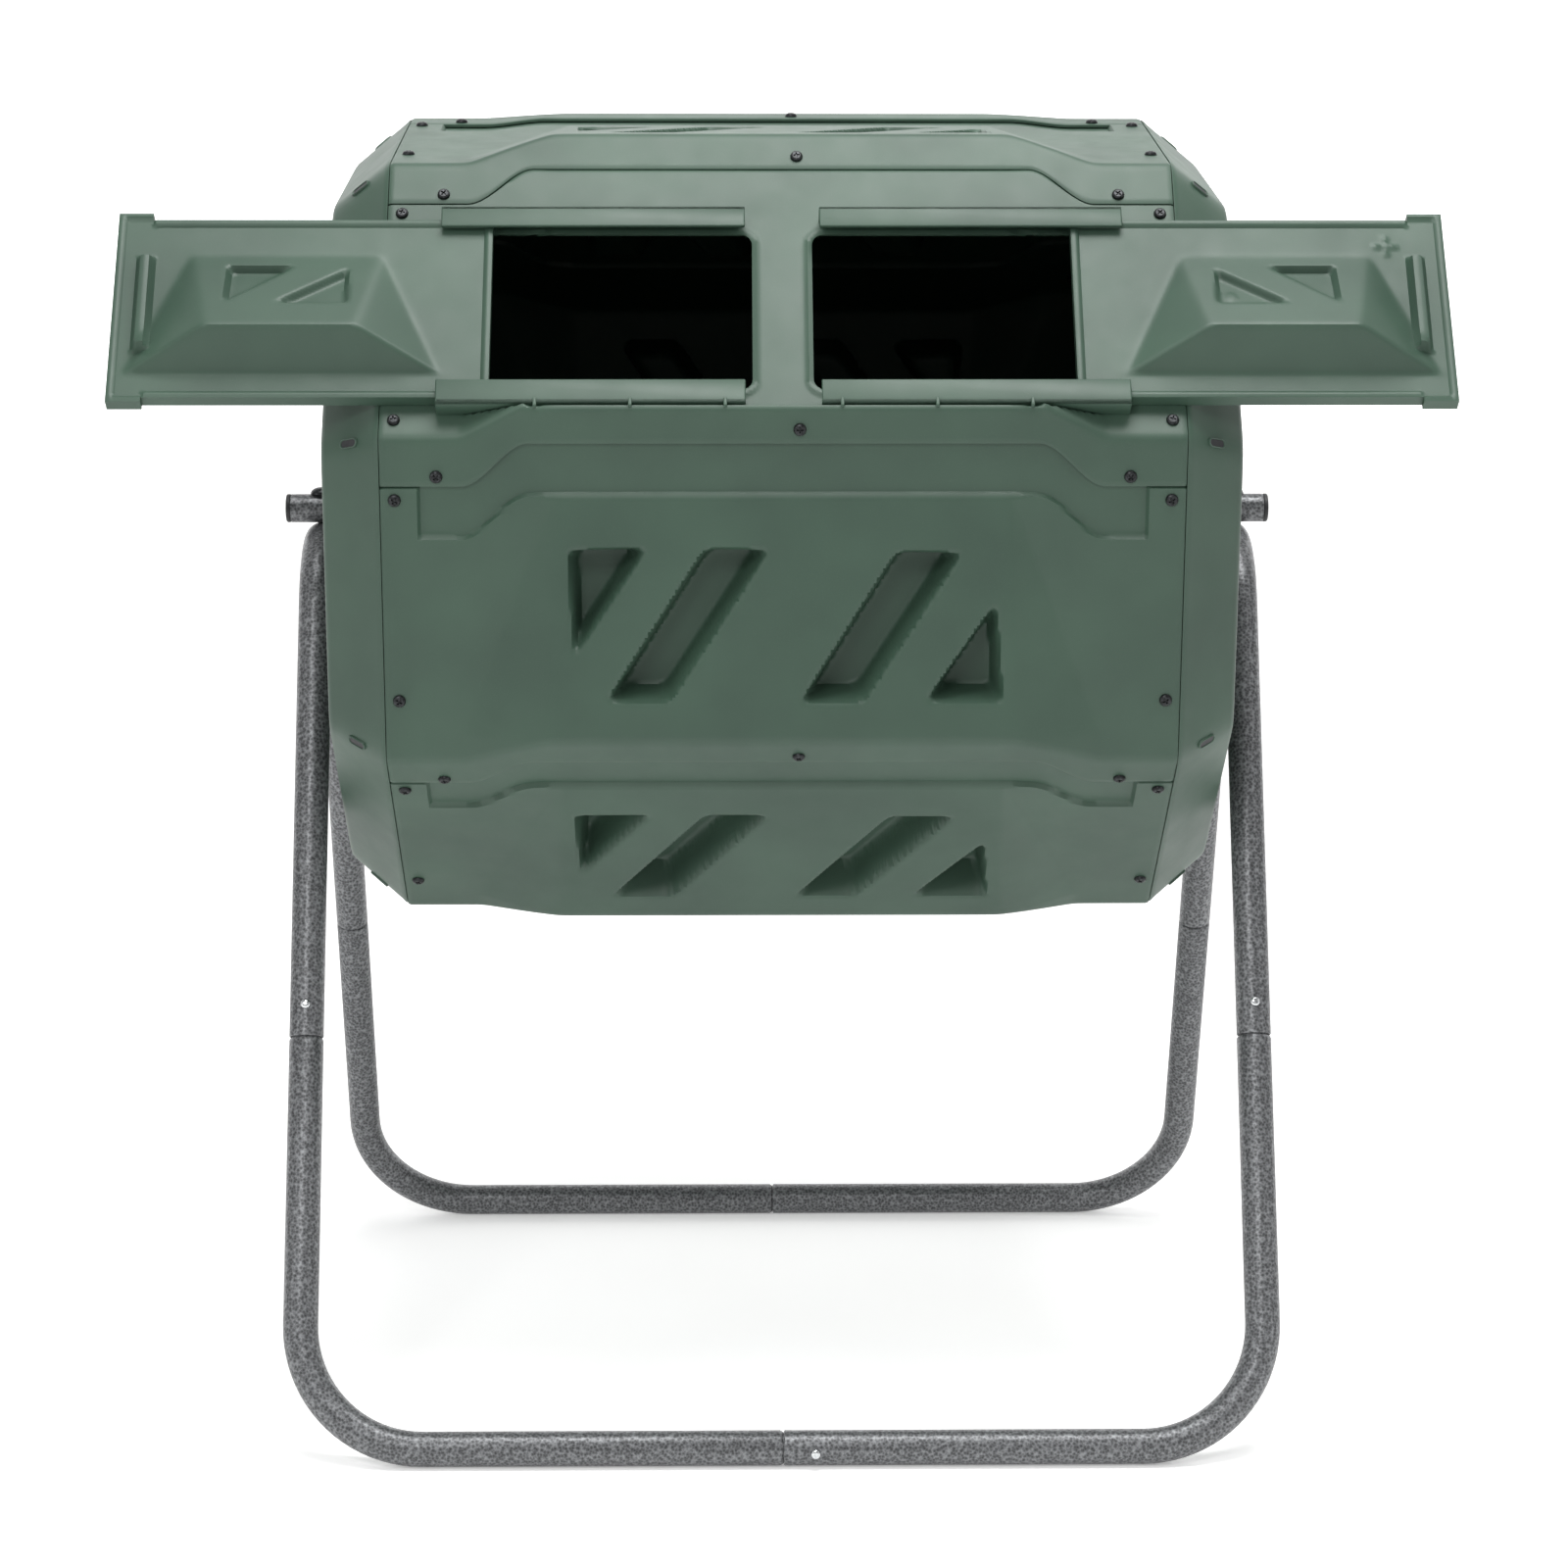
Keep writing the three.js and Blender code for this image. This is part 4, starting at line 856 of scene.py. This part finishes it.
def scatter_tree():
    """Sets a copy of one shape on every point, turned to the point's own directions."""
    tree = bpy.data.node_groups.new("set_shape_on_points", "GeometryNodeTree")
    for name, kind in (("Points", "NodeSocketGeometry"), ("Shape", "NodeSocketObject"),
                       ("Shape Size", "NodeSocketFloat"), ("Finish", "NodeSocketMaterial")):
        tree.interface.new_socket(name, in_out="INPUT", socket_type=kind)
    tree.interface.new_socket("Pieces", in_out="OUTPUT", socket_type="NodeSocketGeometry")
    given = add_node(tree, "NodeGroupInput").outputs
    shape = add_node(tree, "GeometryNodeObjectInfo", links={"Object": given["Shape"]})
    vector = {"data_type": "FLOAT_VECTOR"}
    facing = add_node(tree, "GeometryNodeInputNamedAttribute", vector, {"Name": "facing"})
    along = add_node(tree, "GeometryNodeInputNamedAttribute", vector, {"Name": "along"})
    stood = add_node(tree, "FunctionNodeAlignRotationToVector", {"axis": "Z"},
                     links={"Vector": facing.outputs["Attribute"]})
    turned = add_node(tree, "FunctionNodeAlignRotationToVector", {"axis": "X", "pivot_axis": "Z"},
                      links={"Rotation": stood.outputs["Rotation"],
                             "Vector": along.outputs["Attribute"]})
    placed = add_node(tree, "GeometryNodeInstanceOnPoints", links={
        "Points": given["Points"], "Instance": shape.outputs["Geometry"],
        "Rotation": turned.outputs["Rotation"], "Scale": given["Shape Size"]})
    real = add_node(tree, "GeometryNodeRealizeInstances",
                    links={"Geometry": placed.outputs["Instances"]})
    finished = add_node(tree, "GeometryNodeSetMaterial", links={
        "Geometry": real.outputs["Geometry"], "Material": given["Finish"]})
    add_node(tree, "NodeGroupOutput", links={"Pieces": finished.outputs["Geometry"]})
    return tree


SCATTER = scatter_tree()


def scatter(name, shape, spots, finish):
    """One mesh of a shape repeated at spots, each a place, a facing and a direction along."""
    mesh = bpy.data.meshes.new(name)
    mesh.from_pydata([(np.asarray(s[0]) * MM).tolist() for s in spots], [], [])
    for attribute, index in (("facing", 1), ("along", 2)):
        values = mesh.attributes.new(attribute, "FLOAT_VECTOR", "POINT")
        values.data.foreach_set("vector", np.array([s[index] for s in spots], np.float32).ravel())
    piece = bpy.data.objects.new(name, mesh)
    SCENE.collection.objects.link(piece)
    modifier = piece.modifiers.new("set_shapes", "NODES")
    modifier.node_group = SCATTER
    values = {"Shape": shape, "Shape Size": 1.0, "Finish": finish}
    for item in SCATTER.interface.items_tree:
        if item.in_out == "INPUT" and item.name in values:
            modifier[item.identifier] = values[item.name]
    bpy.context.view_layer.update()
    finished = piece.evaluated_get(bpy.context.evaluated_depsgraph_get())
    real = bpy.data.meshes.new_from_object(finished)
    piece.modifiers.clear()
    piece.data = real
    bpy.data.objects.remove(shape)
    return piece


def screw_shape(name, length=12.0):
    """A pan-head screw with a cross recess, standing on Z with its seat at zero."""
    ring = 14
    angles = np.linspace(0, 2 * math.pi, ring, endpoint=False)
    levels = [(0.01, -length), (1.9, -length + 2), (1.9, 0), (4.5, 0.2), (4.5, 0.7), (3.9, 1.9),
              (2.9, 2.5)]
    points = [(r * math.cos(a), r * math.sin(a), z) for r, z in levels for a in angles]
    faces = []
    for i in range(len(levels) - 1):
        for k in range(ring):
            m = (k + 1) % ring
            faces.append([i * ring + k, i * ring + m, (i + 1) * ring + m, (i + 1) * ring + k])
    w, l = 0.55, 2.3  # half the width and half the length of a bar of the cross
    cross = [(l, -w), (l, w), (w, w), (w, l), (-w, l), (-w, w), (-l, w), (-l, -w), (-w, -w),
             (-w, -l), (w, -l), (w, -w)]
    start = len(points)
    points += [(x, y, 2.5) for x, y in cross] + [(x * 0.7, y * 0.7, 1.2) for x, y in cross]
    rim = list(range((len(levels) - 1) * ring, len(levels) * ring))
    hole = list(range(start, start + 12))
    flat = rim + hole
    triangles = tessellate_polygon([[Vector(points[i]) for i in rim],
                                    [Vector(points[i]) for i in hole]])
    for t in triangles:
        a, b, c = (Vector(points[flat[i]]) for i in t)
        face = [flat[i] for i in t]
        faces.append(face if (b - a).cross(c - a).z > 0 else face[::-1])
    for k in range(12):
        m = (k + 1) % 12
        faces.append([start + k, start + 12 + k, start + 12 + m, start + m][::-1])
    faces.append([start + 12 + k for k in range(12)])
    return new_piece(name, points, faces, BLACK_STEEL, 30)


def vent_shape():
    """A raised stadium rim round a shallow slot with a flat floor, lying along X; a black sheet of
    painted shadow laid on that floor makes the slot look deep.
    """
    ends = [(4.5 + 2.5 * math.cos(a), 2.5 * math.sin(a))
            for a in np.linspace(-math.pi / 2, math.pi / 2, 7)]
    outline = np.array(ends + [(-x, -y) for x, y in ends])
    length = np.linalg.norm(outline, axis=1, keepdims=True)
    away = outline / length
    levels = [(1.5, -1.0), (1.3, 0.5), (0.7, 0.9), (0.1, 0.7), (-0.2, 0.2)]
    rings = [np.column_stack([outline + away * grow, np.full(len(outline), z)])
             for grow, z in levels]
    count = len(outline)
    points = np.vstack(rings)
    faces = []
    for i in range(len(levels) - 1):
        for k in range(count):
            m = (k + 1) % count
            faces.append([i * count + k, i * count + m, (i + 1) * count + m, (i + 1) * count + k])
    faces.append([(len(levels) - 1) * count + k for k in range(count)])
    return points, faces


def face_direction(vector, side):
    """A direction drawn on a face, turned to the row frame."""
    p = on_face([vector, (0, 0, 0)], side)
    return p[0] - p[1]


LAP_SCREWS = ((-238, LAP_ENDS - 7), (11, LAP_MIDDLE - 10), (238, LAP_ENDS - 7))
END_SCREW_X = 266.8
END_SCREWS_UP, DOOR_SCREWS_UP = (-71.5, 71.5), (-100.6, 71.7)
VENT_OUT, VENT_ALONG = 0.9925, 21.5
VENT_PROUD = 0.9
CAP_RIDGE = 242.8


def make_repeats():
    lap_spots = []
    for side in range(8):
        facing = face_direction((0, 0, 1), side)
        for x, w in LAP_SCREWS:
            angle = side * 1.7 + x
            along = face_direction((math.cos(angle), math.sin(angle), 0), side)
            lap_spots.append((on_face([(x, EDGE - w, FACE)], side)[0], facing, along))
    nodes = [f"screw_{place}_{k}" for k in range(1, 9) for place in ("left", "middle", "right")]
    piece = scatter("lap_joint_screws", screw_shape("lap_screw"), lap_spots, BLACK_STEEL)
    declare(piece, "drum", "black_steel", *nodes)
    end_spots = []
    for side in range(8):
        facing = face_direction((0, 0, 1), side)
        for x in (-END_SCREW_X, END_SCREW_X):
            for up in DOOR_SCREWS_UP if side == 1 else END_SCREWS_UP:
                along = face_direction((math.cos(x + up), math.sin(x + up), 0), side)
                end_spots.append((on_face([(x, up, FACE)], side)[0], facing, along))
    piece = scatter("end_cap_screws", screw_shape("end_screw", 9.0), end_spots, BLACK_STEEL)
    declare(piece, "drum", "black_steel")
    middle = HALF_LENGTH + VENT_ALONG
    ridge = (CAP_RIDGE + FACE) / 2 / math.cos(SIDE_ANGLE / 2) * VENT_OUT
    slope = math.atan2(CAP_DEPTH, (FACE - CAP_RIDGE) / math.cos(SIDE_ANGLE / 2))
    # The vent rims are green moulding. The shadow part is a flat black sheet of painted shadow on
    # each slot floor, standing for the dark inside of a hole the cap does not have.
    for part, finish, slot in (("rim", GREEN, "green_plastic"),
                               ("shadow", BLACK_PLASTIC_AND_SHADE, "black_plastic")):
        spots = []
        for sign in (-1, 1):
            for k in range(8):
                angle = (k + 0.5) * SIDE_ANGLE
                out = np.array([0, math.cos(angle), math.sin(angle)])
                facing = np.array([sign, 0, 0]) * math.cos(slope) + out * math.sin(slope)
                along = np.array([sign, 0, 0]) * math.sin(slope) - out * math.cos(slope)
                at = np.array([sign * middle, 0, 0]) + out * ridge + facing * VENT_PROUD
                turn = lambda v: turned_drum([v])[0] - [0, 0, AXLE_HEIGHT]
                spots.append((turned_drum([at])[0], turn(facing), turn(along)))
        points, faces = vent_shape()
        # Painted shadow: only the innermost ring, filled as one flat black sheet and lifted 0.12 mm
        # above the rim's floor.
        if part == "shadow":
            count = len(points) // 5
            points = points[-count:] + [0, 0, 0.12]
            faces = [[k for k in range(count)]]
        shape = new_piece(f"vent_{part}_shape", points, faces, finish)
        piece = scatter(f"vent_{part}s", shape, spots, finish)
        declare(piece, "drum", slot)


make_panels()
make_doors()
make_caps()
make_tubes()
make_axle()
make_buttons()
make_repeats()

# ---- Camera, floor and light ----

def look(right, up, back, place):
    """A camera's placing from its three directions and its place."""
    turn = Matrix((right, up, back)).transposed().to_4x4()
    turn.translation = Vector(place)
    return turn


camera_data = bpy.data.cameras.new("camera")
camera_data.lens = 95.1
camera_data.sensor_width = 36.0
camera_data.clip_end = 50.0
camera = bpy.data.objects.new("camera", camera_data)
SCENE.collection.objects.link(camera)
camera.matrix_world = look((0.99988, -0.01553, 0.00123), (0.00170, 0.18739, 0.98228),
                           (-0.01549, -0.98216, 0.18740), (-0.0441, -3.1119, 1.0272))
SCENE.camera = camera

floor_mesh = bpy.data.meshes.new("floor")
floor_mesh.from_pydata([(-12, -12, 0), (12, -12, 0), (12, 12, 0), (-12, 12, 0)], [], [(0, 1, 2, 3)])
floor = bpy.data.objects.new("floor", floor_mesh)
SCENE.collection.objects.link(floor)
# The floor is plain pale studio board: almost white, matt, with only a trace of mottling.
board, board_tree, board_surface, board_coords = new_material("pale_board")
mottle = ramp(board_tree, noise(board_tree, board_coords, 400, 2),
              [(0.3, linear("#f3f3f2")), (0.7, linear("#f8f8f8"))])
board_tree.links.new(mottle, board_surface.inputs["Base Color"])
board_surface.inputs["Roughness"].default_value = 0.9
board_surface.inputs["Emission Color"].default_value = (1, 1, 1, 1)
board_surface.inputs["Emission Strength"].default_value = 0.3
floor_mesh.materials.append(board)

wall_mesh = bpy.data.meshes.new("backdrop")
wall_mesh.from_pydata([(-14, 6, -1), (14, 6, -1), (14, 6, 9), (-14, 6, 9)], [], [(3, 2, 1, 0)])
wall = bpy.data.objects.new("backdrop", wall_mesh)
SCENE.collection.objects.link(wall)
# The backdrop is a plain lit cloth, evenly white, that fills the view behind the floor.
cloth, cloth_tree, cloth_surface, cloth_coords = new_material("lit_backdrop")
weave = ramp(cloth_tree, noise(cloth_tree, cloth_coords, 500, 2),
             [(0.3, linear("#f6f6f6")), (0.7, linear("#ffffff"))])
cloth_tree.links.new(weave, cloth_surface.inputs["Emission Color"])
cloth_surface.inputs["Emission Strength"].default_value = 1.1
wall_mesh.materials.append(cloth)

world = bpy.data.worlds.new("studio")
SCENE.world = world
world.use_nodes = True
world.node_tree.nodes["Background"].inputs["Color"].default_value = (1, 1, 1, 1)
world.node_tree.nodes["Background"].inputs["Strength"].default_value = 0.42


def soft_light(name, place, target, size, power):
    """A rectangular area lamp turned to a target."""
    data = bpy.data.lights.new(name, "AREA")
    data.shape = "RECTANGLE"
    data.size, data.size_y = size
    data.energy = power
    lamp = bpy.data.objects.new(name, data)
    SCENE.collection.objects.link(lamp)
    lamp.location = place
    lamp.rotation_euler = (Vector(target) - Vector(place)).to_track_quat("-Z", "Y").to_euler()


soft_light("overhead_softbox", (0.2, -0.5, 2.7), (0, 0, 0.6), (1.6, 1.1), 60)
soft_light("front_key", (-0.8, -3.2, 2.7), (0, 0, 0.6), (1.2, 0.8), 36)
soft_light("left_strip", (-2.4, -1.6, 1.2), (0, 0, 0.5), (0.4, 2.0), 9)
soft_light("right_strip", (2.4, -1.6, 1.2), (0, 0, 0.5), (0.4, 2.0), 7)
SCENE.view_settings.view_transform = "Standard"

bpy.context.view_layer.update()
